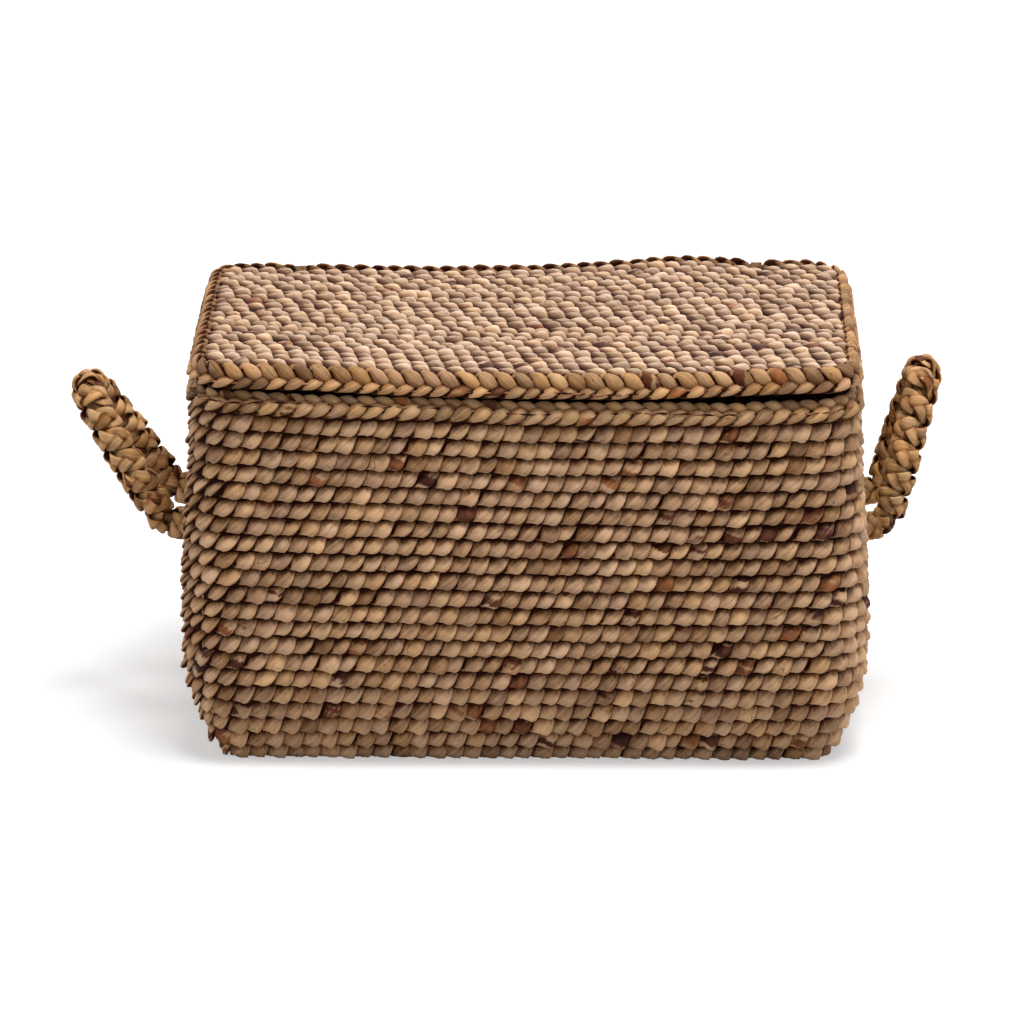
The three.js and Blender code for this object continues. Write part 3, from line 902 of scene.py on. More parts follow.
@dataclass
class Twining(Twist):
    """Two flat stalks twined over a core, in leaf-shaped lobes that lie over each other like shingles."""

    cover: float = 0.4
    stretch: float = 0.33
    pinch: float = 0.84
    blunt: float = 0.1
    shingle: float = 0.5
    tuck: float = 0.0
    shade: float = 0.75
    shade_from: float = 1.5 * MM
    taper: float = 0.0
    core_wide: float = 6.2 * MM
    core_thick: float = 1.6 * MM
    BULGE: ClassVar[float] = 0.25
    OVERTURN: ClassVar[float] = 0.3
    LEAF_POWER: ClassVar[float] = 2.2
    THIN_POWER: ClassVar[int] = 3
    THINNING: ClassVar[float] = 0.6
    TIP_SIZE: ClassVar[float] = 0.4
    TAPER_LEAD: ClassVar[float] = 0.2

    def turning(self, angle: Array) -> Turning:
        """The turning of a flat stalk, in leaf-shaped lobes.

        Across it runs nearly straight from edge to edge: (18 sin(a) - sin(3a)) / 19. The stretch lengthens
        the outer lobes at the cost of the inner ones, and the bulge lifts their shoulders. The flat faces
        out for most of a lobe and turns over at its tips: a - o sin(2a), o being the overturn. The pinch
        draws the tips in, less at the blunt end, and the shingle rolls one side of each lobe out over its
        neighbour.
        """
        sin, cos = np.sin(angle), np.cos(angle)
        turned = np.abs(sin)
        return Turning(
            along=self.stretch * self.lean.value * sin,
            out=cos * (1.0 + self.BULGE * sin * sin),
            across=(18.0 * sin - np.sin(3.0 * angle)) / 19.0,
            face=angle - self.OVERTURN * np.sin(2.0 * angle),
            wide=1.0 - self.pinch * turned**self.LEAF_POWER + self.blunt * sin * turned,
            thick=1.0 - self.THINNING * self.pinch * turned**self.THIN_POWER,
            roll=self.shingle * cos * cos,
        )

    def depth(self) -> Depth:
        """How the lobes take painted shade towards the mid-plane of the weave, where they tuck in."""
        reach = self.twist_out + self.half_thick
        return Depth(
            out=reach,
            across=1.0,
            deep=0.03,
            open=0.5,
            tuck=self.tuck,
            shade=self.shade,
            shade_from=self.shade_from,
        )

    def ends(self, part: Array, course: Course) -> Array:
        """Size along the run: 1, drawn in over the taper's length towards each end of an open course."""
        if course.closed or self.taper <= 0.0:
            return np.ones_like(part)
        from_end = np.minimum(part, 1.0 - part) * course.length
        grown = np.sqrt(ease(-self.TAPER_LEAD * self.taper, self.taper, from_end))
        return self.TIP_SIZE + (1.0 - self.TIP_SIZE) * grown

    def lay(self, mesh: StrandMesh, course: Course, size: Array | float = 1.0) -> None:
        """Lays the twined strands, and along their middle the flat band of the stalks that they bind, which
        is painted all over in the shade colour of the gaps.

        Args:
            mesh: takes the tubes.
            course: the line that the strands twist round.
            size: how much of its full size the weave has at each sample.
        """
        super().lay(mesh, course, size)
        mesh.add(plain_strand(course, self.core_thick * size, self.core_wide * size), 0.0)


def plain_strand(course: Course, half_thick: Array | float, half_wide: Array | float) -> Strand:
    """A strand without lobes: the flat band along the middle of a weave, or a stake.

    Args:
        course: its middle line.
        half_thick: half its size along the course's out.
        half_wide: half its size along the course's across.

    Returns:
        The strand. In a stalk's finish it is painted all over in the shade colour of the gaps.
    """
    samples = len(course.centre)
    return Strand(
        course=course,
        centre=course.centre,
        face=course.out,
        half_thick=half_thick * np.ones(samples),
        half_wide=half_wide * np.ones(samples),
        roll=np.zeros(samples),
        look=np.zeros((samples, 4)),
        depth=Depth(out=1.0, across=1.0, deep=0.5, open=1.0),
    )


@dataclass
class Plait:
    """A flat plait of three strands along a course."""

    rng: np.random.Generator
    lobe_pitch: float
    swing: float
    weave: float
    half_thick: float
    half_wide: float
    pinch: float = 0.25
    crown: float = 0.0
    shingle: float = 0.3
    bias: float = 0.0
    blunt: float = 0.0
    stretch: float = 0.0
    patch_share: float = 0.1
    cover: float = 0.5
    two_sided: bool = False
    STRANDS: ClassVar[int] = 3
    STEPS_PER_TURN: ClassVar[int] = 24
    DRIFT: ClassVar[float] = 0.22
    SWELL: ClassVar[float] = 0.12
    ROLL: ClassVar[float] = 0.2
    EDGE_SHARE: ClassVar[float] = 0.8

    def turns(self, length: float) -> int:
        """Whole turns of a strand, from edge to edge and back, along a length."""
        return max(1, round(length / (self.STRANDS * self.lobe_pitch)))

    def samples(self, length: float) -> int:
        """How many samples the plait needs along a closed course of that length."""
        return self.STEPS_PER_TURN * self.turns(length)

    def lay(self, mesh: StrandMesh, course: Course, size: Array | float = 1.0) -> None:
        """Lays the three strands along a course.

        Strand k's middle is centre + A s(t) across - (B sin(2t) + C sin(t)^2) out, where s is sin made
        straighter by its third harmonic, with t shifted by a third of a turn from one strand to the next,
        so that on the outside the lobes run from both edges to the middle. C is the crown, by which the
        edges fall back. The bias makes the lobes on the upper side that share larger, and the others
        smaller. The stretch lengthens the outer lobes by S cos(2t) along, and the blunt end of each is
        wider than its other end. A strand is widest where it lies outermost, and rolls over its neighbour.

        Args:
            mesh: takes the tubes.
            course: the middle line of the plait.
            size: how much of its full size the plait has at each sample.
        """
        samples = len(course.centre)
        closed = course.closed
        turns = self.turns(course.length)
        part = np.arange(samples) / (samples if closed else samples - 1)
        drift = self.DRIFT * wander(self.rng, samples, self.STRANDS * turns, closed)
        start = self.rng.uniform(0.0, 2.0 * math.pi)
        edge = self.swing + self.EDGE_SHARE * self.half_wide
        # Painted shade: the strands darken towards the plait's middle, and on the side that lies under a
        # neighbour.
        depth = Depth(out=self.weave + self.half_thick, across=edge, deep=0.12, open=0.55)
        for number in range(self.STRANDS):
            swell = 1.0 + self.SWELL * wander(self.rng, samples, 4 * turns, closed)
            roll = self.ROLL * wander(self.rng, samples, 4 * turns, closed)
            turn = 2.0 * math.pi * (turns * part + number / self.STRANDS) + drift + start
            over = -np.sin(2.0 * turn)
            straight = (9.0 * np.sin(turn) - np.sin(3.0 * turn)) / 10.0
            larger = 1.0 + self.bias * np.sin(turn)
            middle = self.swing * (straight * larger - self.bias)
            side = (size * middle)[:, None] * course.across
            side = side + (self.stretch * np.cos(2.0 * turn))[:, None] * course.along
            rise = size * (self.weave * over - self.crown * np.sin(turn) ** 2)
            leaf = 1.0 - self.pinch * (1.0 - over * over) + self.blunt * np.cos(2.0 * turn)
            drawn_in = size * swell * larger * leaf
            lobe = np.floor(2.0 * turn / math.pi).astype(int)
            lobe = (lobe - lobe.min()) % (4 * turns + (0 if closed else 8))
            strand = Strand(
                course=course,
                centre=course.centre + side + rise[:, None] * course.out,
                face=course.out,
                half_thick=self.half_thick * drawn_in,
                half_wide=self.half_wide * drawn_in,
                roll=roll + self.shingle * np.cos(turn),
                look=Looks(self.rng, self.patch_share).draw(lobe),
                depth=depth,
                covered=self.cover * np.cos(turn),
                two_sided=self.two_sided,
            )
            mesh.add(strand, self.rng.uniform(0.0, GRAIN_SHIFT))


def place_piece(piece: bpy.types.Object, body: str, slot: str, *nodes: str) -> None:
    """Lets a piece ride on a body and stand for CAD nodes, and reports it.

    Args:
        piece: the finished object.
        body: the CAD body that carries it.
        slot: the record's material slot; not used.
        nodes: the CAD nodes that it replaces.
    """
    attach(piece, body)
    if nodes:
        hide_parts(*nodes)
    LOG.info("%s: %d faces on %s", piece.name, len(piece.data.polygons), body)


# The box's sub-assemblies


@dataclass(frozen=True)
class Settling:
    """How the frameless box has settled: its front has risen at the corners and sunk between them."""

    half_depth: float
    full_height: float
    places: tuple[float, ...]
    rises: tuple[float, ...]
    back_places: tuple[float, ...]
    back_rises: tuple[float, ...]

    def bend(self, points: Array) -> Array:
        """Raises points by (r(x) f(y) + s(x) (1 - f(y))^2) h(z).

        r and s are smooth curves through the rises at their places along the front and the back. f grows
        evenly from 0 at the back to 1 at the front, and h from 0 at the floor to 1 at the full height.

        Args:
            points: places at rest in the CAD model.

        Returns:
            The settled places.
        """
        front = np.clip(0.5 - 0.5 * points[:, 1] / self.half_depth, 0.0, 1.0)
        rise = front * through(self.places, self.rises, points[:, 0])
        rise = rise + (1.0 - front) ** 2 * through(self.back_places, self.back_rises, points[:, 0])
        height = np.clip(points[:, 2] / self.full_height, 0.0, 1.0)
        settled = points.copy()
        settled[:, 2] += rise * height
        return settled


@dataclass(frozen=True)
class TiePlaces:
    """Where along the hinge the ties draw in the plaits and the row beside them."""

    places: tuple[float, ...]
    reach: float = 5.5 * MM

    def nearness(self, points: Array) -> Array:
        """1 at a tie's middle, and 0 well away from it and on the front half: the sum of exp(-(d / w)^2)."""
        near = sum(np.exp(-(((points[:, 0] - place) / self.reach) ** 2)) for place in self.places)
        return near * (points[:, 1] > 0.0)


@dataclass
class WovenWall:
    """The twined courses of the wall, the plaited rim above them and the woven base."""

    half_width: float
    settling: Settling
    ties: TiePlaces
    course_inset: float = 6.5 * MM
    lobe_pitch: float = 11.4 * MM
    steps_per_turn: int = 16
    sides: int = 10
    heave: float = 0.9 * MM
    heave_change: float = 0.5
    rim_inset: float = 5.6 * MM
    rim_lean: float = math.radians(-32.0)
    rim_lift: float = 0.4 * MM
    rim_pinch: float = 0.25
    base_overrun: float = 1.5 * MM
    base_steps_per_turn: int = 12
    base_sides: int = 6

    def build(self, cord: bpy.types.Material) -> None:
        """Makes the courses, the rim and the base.

        Args:
            cord: the sewing cord's material.
        """
        finish = WALL_FINISH.material()
        boxes = [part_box(self._node(k)) for k in range(COURSE_COUNT)]
        reach = np.array([high.x for _, high in boxes])
        depth = np.array([high.y for _, high in boxes])
        middle = np.array([(low.z + high.z) / 2.0 for low, high in boxes])
        lean = np.arctan(np.gradient(reach, middle))
        for k in range(COURSE_COUNT):
            self._course(k, finish, float(reach[k]), float(depth[k]), float(middle[k]), float(lean[k]))
        self._rim(cord)
        self._base(finish)

    @staticmethod
    def _node(index: int) -> str:
        """Name of a course's CAD node."""
        return f"wall_course_{index + 1:02d}"

    def _course(
        self, index: int, finish: bpy.types.Material, reach: float, depth: float, middle: float, lean: float
    ) -> None:
        """Makes one twined course at the middle of the wall's thickness.

        Args:
            index: the course's number from the base up.
            finish: the wall's material.
            reach: half the wall's width there.
            depth: half its depth.
            middle: height of the course's middle.
            lean: the wall's outward lean there, in radians.
        """
        inset = self.course_inset
        grown = reach - self.half_width
        loop = RoundedLoop(reach - inset, depth - inset, CORNER_RADIUS + grown - inset)
        pair = Twining(
            np.random.default_rng(Seed.COURSE + index),
            lobe_pitch=self.lobe_pitch,
            twist_out=2.6 * MM,
            twist_across=4.5 * MM,
            half_thick=2.2 * MM,
            half_wide=6.0 * MM,
            tuck=0.3,
            shade=0.6,
            shade_from=2.2 * MM,
        )
        samples = pair.turns(loop.length) * self.steps_per_turn
        course = loop.course(samples, middle, lean)
        course.centre = course.centre + self._heave(index, samples)[:, None] * course.across
        mesh = StrandMesh(self.sides)
        pair.lay(mesh, course)
        piece = mesh.build(f"twined_course_{index + 1:02d}", finish, self.settling.bend)
        place_piece(piece, "basket", "wall_stalk", self._node(index))

    def _heave(self, index: int, samples: int) -> Array:
        """How a course rises and falls: one random wave turns into another from course to course."""
        rng = np.random.default_rng(Seed.HEAVE)
        first, second = wander(rng, samples, 11, True), wander(rng, samples, 13, True)
        change = self.heave_change * index
        return self.heave * (math.cos(change) * first + math.sin(change) * second)

    def _rim(self, cord: bpy.types.Material) -> None:
        """Makes the plaited rim, rolled in a little over the top of the wall, with its sewing cord.

        Args:
            cord: the sewing cord's material.
        """
        low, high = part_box("rim_plait")
        inset = self.rim_inset
        loop = RoundedLoop(high.x - inset, high.y - inset, CORNER_RADIUS - inset)
        plait = Plait(
            np.random.default_rng(Seed.RIM),
            lobe_pitch=11.2 * MM,
            swing=5.4 * MM,
            weave=2.3 * MM,
            half_thick=2.2 * MM,
            half_wide=4.2 * MM,
            pinch=0.4,
            bias=-0.28,
            blunt=0.14,
            stretch=1.2 * MM,
            two_sided=True,
        )
        samples = plait.samples(loop.length)
        middle = low.z + (high.z - low.z) / 2.0 + self.rim_lift
        course = loop.course(samples, middle, self.rim_lean)
        mesh = StrandMesh(self.sides)
        plait.lay(mesh, course, 1.0 - self.rim_pinch * self.ties.nearness(course.centre))
        # A flat sheet under the plait, painted all over in the shade colour of the gaps.
        shade_sheet = plain_strand(loop.course(samples, low.z), half_thick=0.7 * MM, half_wide=6.0 * MM)
        mesh.add(shade_sheet, 0.0)
        piece = mesh.build("plaited_rim", RIM_FINISH.material(), self.settling.bend)
        place_piece(piece, "basket", "rim_stalk", "rim_plait")
        SewingCord(
            name="rim_sewing_cord",
            body="basket",
            loop=loop,
            plait_height=middle,
            above=1.2 * MM,
            proud=4.2 * MM,
            settling=self.settling,
            ties=self.ties,
            seed=Seed.RIM_CORD,
        ).build(cord)

    def _base(self, finish: bpy.types.Material) -> None:
        """Makes the base's twined rows, which end inside the lowest course."""
        low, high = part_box("base_mat")
        pitch = (high.y - low.y) / BASE_ROW_COUNT
        middle = (low.z + high.z) / 2.0
        mesh = StrandMesh(self.base_sides)
        rng = np.random.default_rng(Seed.BASE)
        for row in range(BASE_ROW_COUNT):
            y = low.y + (row + 0.5) * pitch
            pair = Twining(
                rng,
                lobe_pitch=self.lobe_pitch,
                twist_out=1.8 * MM,
                twist_across=4.2 * MM,
                half_thick=2.0 * MM,
                half_wide=5.4 * MM,
                lean=Lean.FALLING,
                shingle=0.25,
                taper=6.0 * MM,
            )
            end = np.array([high.x + self.base_overrun, y, middle])
            start = np.array([low.x - self.base_overrun, y, middle])
            samples = self.base_steps_per_turn * pair.turns(2.0 * high.x) + 1
            pair.lay(mesh, straight_course(start, end, UP, samples))
        piece = mesh.build("twined_base", finish, as_is)
        place_piece(piece, "basket", "wall_stalk", "base_mat")


@dataclass
class SewingCord:
    """The thin flat cord that runs along a plait, now over its lobes and now under them.

    It lies above the plait's middle, or below it if that is negative, and stands proud of it. At the ties it
    goes to the plait's middle.
    """

    name: str
    body: str
    loop: RoundedLoop
    plait_height: float
    above: float
    proud: float
    settling: Settling
    ties: TiePlaces
    seed: int
    steps_per_turn: int = 12
    rise: float = 1.3 * MM
    dive: float = 1.6 * MM
    sunk: float = 0.5 * MM
    sides: int = 6

    def build(self, finish: bpy.types.Material) -> None:
        """Makes the cord, which settles with its plait.

        Args:
            finish: its material.
        """
        rng = np.random.default_rng(self.seed)
        loop, proud = self.loop, self.proud
        outer = RoundedLoop(loop.half_x + proud, loop.half_y + proud, loop.radius + proud)
        strip = Twist(
            rng,
            lobe_pitch=14.0 * MM,
            twist_out=0.1 * MM,
            twist_across=0.1 * MM,
            half_thick=0.45 * MM,
            half_wide=0.75 * MM,
            strands=1,
            unevenness=0.4,
        )
        samples = self.steps_per_turn * strip.turns(outer.length)
        course = outer.course(samples, self.plait_height + self.above)
        near = np.minimum(1.0, 1.5 * self.ties.nearness(course.centre))
        rise = self.rise * wander(rng, samples, 34, True) * (1.0 - near) - self.above * near
        dive = (self.dive * wander(rng, samples, 44, True) - self.sunk) * (1.0 - near) - proud * near
        course.centre = course.centre + rise[:, None] * course.across + dive[:, None] * course.out
        mesh = StrandMesh(self.sides)
        strip.lay(mesh, course)
        piece = mesh.build(self.name, finish, self.settling.bend)
        place_piece(piece, self.body, "tie_cord")


@dataclass
class WovenLid:
    """The lid: twined rows on two stakes, in a plaited border with a sewing cord."""

    settling: Settling
    ties: TiePlaces
    lobe_pitch: float = 10.9 * MM
    steps_per_turn: int = 16
    sides: int = 10
    row_overrun: float = 3.5 * MM
    heave: float = 0.7 * MM
    sway: float = 0.6 * MM
    row_bend: float = 1.4 * MM
    row_pinch: float = 0.28
    border_inset: float = 5.8 * MM
    border_lean: float = math.radians(-24.0)
    border_drop: float = 0.4 * MM
    border_pinch: float = 0.56
    border_bend: float = 0.7 * MM
    border_rise: float = 0.6 * MM
    stake_steps: int = 40
    stake_sides: int = 12

    def build(self, cane: bpy.types.Material, cord: bpy.types.Material) -> None:
        """Makes the rows, the stakes and the border.

        Args:
            cane: the stakes' material.
            cord: the sewing cord's material.
        """
        finish = LID_PAINTED_LIGHT_FINISH.material()
        for index in range(LID_ROW_COUNT):
            self._row(index, finish)
        for place, _ in SIDES:
            self._stake(place, cane)
        self._border(cord)

    def _row(self, index: int, finish: bpy.types.Material) -> None:
        """Makes one twined row along X. The rearmost draws in and bends round the hinge ties.

        Args:
            index: the row's number from the front.
            finish: the lid's material.
        """
        node = f"lid_row_{index + 1:02d}"
        low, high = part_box(node)
        rng = np.random.default_rng(Seed.LID_ROW + index)
        pair = Twining(
            rng,
            lobe_pitch=self.lobe_pitch,
            twist_out=3.0 * MM,
            twist_across=4.9 * MM,
            half_thick=2.4 * MM,
            half_wide=5.4 * MM,
            lean=Lean.FALLING,
            unevenness=0.85,
            patch_share=0.07,
            tone_spread=0.09,
            cover=-1.0,
            cover_from=-0.4,
            stretch=0.5,
            shingle=-0.25,
            tuck=-0.06,
            shade=0.3,
            shade_from=-1.0 * MM,
            taper=5.0 * MM,
            core_thick=1.4 * MM,
        )
        centre = (low + high) / 2.0
        reach = (high.x - low.x) / 2.0 + self.row_overrun
        start = np.array([-reach, centre.y, centre.z])
        end = np.array([reach, centre.y, centre.z])
        samples = self.steps_per_turn * pair.turns(2.0 * reach) + 1
        course = straight_course(start, end, UP, samples)
        heave = self.heave * wander(rng, samples, 6, False)
        sway = self.sway * wander(rng, samples, 5, False)
        course.centre = course.centre + heave[:, None] * course.out + sway[:, None] * course.across
        size: Array | float = 1.0
        if index == LID_ROW_COUNT - 1:
            near = self.ties.nearness(course.centre)
            course.centre[:, 1] -= self.row_bend * near
            size = 1.0 - self.row_pinch * near
        mesh = StrandMesh(self.sides)
        pair.lay(mesh, course, size)
        piece = mesh.build(f"twined_{node}", finish, self.settling.bend)
        place_piece(piece, "lid", "lid_stalk", node)

    def _stake(self, place: str, finish: bpy.types.Material) -> None:
        """Makes one of the two stakes on which the rows are threaded, which sags with them."""
        node = f"lid_stake_{place}"
        low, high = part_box(node)
        centre = (low + high) / 2.0
        start = np.array([centre.x, low.y, centre.z])
        end = np.array([centre.x, high.y, centre.z])
        course = straight_course(start, end, UP, self.stake_steps)
        radius = (high.z - low.z) / 2.0
        mesh = StrandMesh(self.stake_sides)
        mesh.add(plain_strand(course, half_thick=radius, half_wide=radius), 0.0)
        piece = mesh.build(f"{node}_cane", finish, self.settling.bend)
        place_piece(piece, "lid", "rattan_stake", node)

    def _border(self, cord: bpy.types.Material) -> None:
        """Makes the plait round the lid's edge, which stands upright there, and its sewing cord.

        Args:
            cord: the sewing cord's material.
        """
        low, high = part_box("lid_border_plait")
        inset = self.border_inset
        middle = (low.z + high.z) / 2.0
        loop = RoundedLoop(high.x - inset, high.y - inset, CORNER_RADIUS - inset)
        plait = Plait(
            np.random.default_rng(Seed.BORDER),
            lobe_pitch=11.2 * MM,
            swing=6.8 * MM,
            weave=2.3 * MM,
            half_thick=2.1 * MM,
            half_wide=4.1 * MM,
            pinch=0.45,
            bias=0.2,
            blunt=0.16,
            stretch=1.2 * MM,
            two_sided=True,
        )
        samples = plait.samples(loop.length)
        course = loop.course(samples, middle - self.border_drop, self.border_lean)
        near = self.ties.nearness(course.centre)
        course.centre[:, 1] -= self.border_bend * near
        course.centre[:, 2] += (self.border_drop + self.border_rise) * near
        size = 1.0 - self.border_pinch * near
        mesh = StrandMesh(self.sides)
        plait.lay(mesh, course, size)
        # Flat sheets painted all over in the shade colour of the gaps: along the plait's middle, and level
        # inside it towards the rows.
        mesh.add(plain_strand(course, half_thick=0.6 * MM, half_wide=5.0 * MM * size), 0.0)
        seam_inset = inset + 5.0 * MM
        seam = RoundedLoop(high.x - seam_inset, high.y - seam_inset, CORNER_RADIUS - seam_inset)
        level = seam.course(samples, middle, math.radians(90.0))
        mesh.add(plain_strand(level, half_thick=0.7 * MM, half_wide=4.0 * MM), 0.0)
        piece = mesh.build("plaited_lid_border", BORDER_FINISH.material(), self.settling.bend)
        place_piece(piece, "lid", "lid_stalk", "lid_border_plait")
        SewingCord(
            name="lid_sewing_cord",
            body="lid",
            loop=loop,
            plait_height=middle,
            above=-3.2 * MM,
            proud=4.8 * MM,
            settling=self.settling,
            ties=self.ties,
            seed=Seed.BORDER_CORD,
        ).build(cord)


@dataclass
class HingeTie:
    """A lashing of thin cord round the rim and the lid's border, in which the border turns."""

    place: str
    axis_height: float
    crest: float
    half_depth: float = 5.5 * MM
    cord_radius: float = 1.1 * MM
    turns: int = 4
    steps_per_turn: int = 150
    sides: int = 6
    ROUND: ClassVar[float] = 2.0
    SQUARE: ClassVar[float] = 5.0

    def build(self, finish: bpy.types.Material) -> None:
        """Makes the lashing as one cord.

        Its turns follow a loop that is round above and square below, with rounded corners: the point at
        angle a is the middle plus (w cos(a), h sin(a)) divided by the p-norm of (cos(a), sin(a)), where p
        is 2 above and 5 below.

        Args:
            finish: the cord's material.
        """
        node = f"hinge_tie_{self.place}"
        low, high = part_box(node)
        samples = self.steps_per_turn * self.turns + 1
        angle = np.linspace(-0.5 * math.pi, 2.0 * math.pi * self.turns - 0.5 * math.pi, samples)
        drop = self.axis_height - (low.z + self.cord_radius)
        cos, sin = np.cos(angle), np.sin(angle)
        power = np.where(sin > 0.0, self.ROUND, self.SQUARE)
        size = (np.abs(cos) ** power + np.abs(sin) ** power) ** (-1.0 / power)
        tall = np.where(sin > 0.0, self.crest, drop)
        middle_y = (low.y + high.y) / 2.0
        x = np.linspace(low.x + self.cord_radius, high.x - self.cord_radius, samples)
        y = middle_y + self.half_depth * size * cos
        z = self.axis_height + tall * size * sin
        centre = np.stack([x, y, z], axis=1)
        out = np.stack([np.zeros(samples), cos, sin], axis=1)
        pair = Twist(
            np.random.default_rng(Seed.TIE + len(self.place)),
            lobe_pitch=2.6 * MM,
            twist_out=0.5 * MM,
            twist_across=0.5 * MM,
            half_thick=0.6 * MM,
            half_wide=0.75 * MM,
            unevenness=0.3,
        )
        mesh = StrandMesh(self.sides)
        pair.lay(mesh, sampled_course(centre, out, False))
        piece = mesh.build(f"hinge_lashing_{self.place}", finish, as_is)
        place_piece(piece, "basket", "tie_cord", node)


@dataclass
class RopeHandle:
    """A loop handle: a rope core, a plait wound round it and its feet, and the rope that anchors it."""

    place: str
    sign: float
    lift: float
    foot_size: float
    pivot: Array
    spread: float = 74.0 * MM
    reach: float = 95.5 * MM
    top_radius: float = 22.0 * MM
    wrap_start: float = -5.0 * MM
    wrap_full: float = 24.0 * MM
    wrap_turns: int = 14
    wrap_steps_per_turn: int = 46
    wrap_radius: float = 8.8 * MM
    plait_sides: int = 10
    foot_turns: float = 1.15
    foot_length: float = 13.0 * MM
    foot_gap: float = 4.0 * MM
    foot_steps: int = 60
    rope_radius: float = 4.5 * MM
    rope_sides: int = 8
    core_overrun: float = 2.0 * MM
    core_steps: int = 130
    anchor_bend: float = 7.5 * MM
    anchor_bend_steps: int = 8
    anchor_short: float = 2.0 * MM
    anchor_tip: float = 0.45
    anchor_taper: float = 12.0 * MM
    anchor_steps: int = 90

    @property
    def lean_in(self) -> float:
        """Angle by which the legs of the arch lean towards each other before the bend at the top."""
        return 2.0 * math.atan2(self.spread / 2.0 - self.top_radius, self.reach - self.top_radius)

    @property
    def leg_radius(self) -> float:
        """Radius of the long arcs of the legs."""
        return self.top_radius + (self.reach - self.top_radius) / math.sin(self.lean_in)

    @property
    def leg(self) -> float:
        """Length of one leg's arc."""
        return self.leg_radius * self.lean_in

    @property
    def length(self) -> float:
        """Length of the whole arch along its middle."""
        return 2.0 * self.leg + self.top_radius * (math.pi - 2.0 * self.lean_in)

    def build(self, wrap_finish: bpy.types.Material, rope_finish: bpy.types.Material) -> None:
        """Makes the wrap, the core, the anchor and the wrapped feet.

        Args:
            wrap_finish: the plait's material.
            rope_finish: the rope's material.
        """
        body = f"handle_{self.place}"
        seed = Seed.LEFT_HANDLE if self.sign < 0 else Seed.RIGHT_HANDLE
        self._wrap(body, wrap_finish, seed)
        self._core(body, rope_finish, seed + 1)
        self._anchor(rope_finish, seed + 2)
        self._feet(wrap_finish, seed + 3)

    def _around(self, distance: Array, radius: Array, angle: Array) -> tuple[Array, Array]:
        """Points round the core, and the way out of it there, in the model's frame.

        The arch is three arcs in its own plane. The heading turns slowly along the legs and fast over the
        top, and a point of the middle is an arc's centre plus its radius along the normal. A point round
        the core is the middle plus radius times (cos(angle) normal + sin(angle) up).

        Args:
            distance: along the core's middle.
            radius: from that middle.
            angle: round it.

        Returns:
            The points and the outward directions.
        """
        top = distance - self.leg
        back = self.length - distance
        first, last = top < 0.0, back < self.leg
        heading = np.select(
            [first, last],
            [distance / self.leg_radius, math.pi - back / self.leg_radius],
            self.lean_in + top / self.top_radius,
        )
        flat = np.zeros_like(distance)
        normal = np.stack([np.sin(heading), -np.cos(heading), flat], axis=1)
        inward = self.leg_radius - self.spread / 2.0
        centre_x = np.where(first | last, 0.0, self.reach - self.top_radius)
        centre_y = np.select([first, last], [inward, -inward], 0.0)
        arc_radius = np.where(first | last, self.leg_radius, self.top_radius)
        middle = np.stack([centre_x, centre_y, flat], axis=1) + arc_radius[:, None] * normal
        out = np.cos(angle)[:, None] * normal + np.sin(angle)[:, None] * UP
        return self._placed(middle + radius[:, None] * out), self._turned(out)

    def _turned(self, vectors: Array) -> Array:
        """Directions of the handle's own frame turned up by its lift, and round for the left side."""
        cos, sin = math.cos(self.lift), math.sin(self.lift)
        x = self.sign * (cos * vectors[:, 0] - sin * vectors[:, 2])
        y = self.sign * vectors[:, 1]
        return np.stack([x, y, sin * vectors[:, 0] + cos * vectors[:, 2]], axis=1)

    def _placed(self, points: Array) -> Array:
        """Points of the handle's own frame at its pivot."""
        return self._turned(points) + self.pivot

    def _wrap(self, body: str, finish: bpy.types.Material, seed: int) -> None:
        """Makes the plait that winds round the core from one end to the other.

        The plait's middle is at a radius that draws in at the feet by their size, and at an angle that
        grows by a turn for every pitch along the core. Across is along the core, and out is away from it.
        """
        samples = self.wrap_steps_per_turn * self.wrap_turns + 1
        turn = np.linspace(0.0, self.wrap_turns, samples)
        pitch = (self.length - 2.0 * self.wrap_start) / (self.wrap_turns + 1)
        distance = self.wrap_start + pitch * (turn + 0.5)
        angle = 2.0 * math.pi * turn
        from_foot = np.minimum(distance, self.length - distance)
        size = self.foot_size + (1.0 - self.foot_size) * ease(self.wrap_start, self.wrap_full, from_foot)
        centre, out = self._around(distance, self.wrap_radius * size, angle)
        mesh = StrandMesh(self.plait_sides)
        self._plait(seed).lay(mesh, sampled_course(centre, out, False))
        piece = mesh.build(f"handle_{self.place}_plait", finish, as_is)
        place_piece(piece, body, "handle_plait", f"handle_{self.place}_wrap")

    @staticmethod
    def _plait(seed: int) -> Plait:
        """The flat plait that the handle is wound with."""
        return Plait(
            np.random.default_rng(seed),
            lobe_pitch=11.0 * MM,
            swing=3.9 * MM,
            weave=1.6 * MM,
            half_thick=1.8 * MM,
            half_wide=4.6 * MM,
            pinch=0.2,
            crown=2.1 * MM,
            shingle=0.18,
        )

    def _feet(self, finish: bpy.types.Material, seed: int) -> None:
        """Makes a turn of the plait round each end of the anchor, which bends between wall and handle."""
        angle = 2.0 * math.pi * np.linspace(0.0, self.foot_turns, self.foot_steps)
        radius = self.wrap_radius * self.foot_size
        from_pivot = np.linspace(self.foot_length, self.foot_gap, self.foot_steps)
        out = np.stack([0.0 * angle, np.cos(angle), np.sin(angle)], axis=1)
        mesh = StrandMesh(self.plait_sides)
        for leg in (-0.5, 0.5):
            middle = np.tile(self.pivot, (self.foot_steps, 1))
            middle[:, 0] -= self.sign * from_pivot
            middle[:, 1] += leg * self.spread
            self._plait(seed).lay(mesh, sampled_course(middle + radius * out, out, False))
        piece = mesh.build(f"handle_{self.place}_foot_plait", finish, as_is)
        tuple(self.pivot)
        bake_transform(piece)

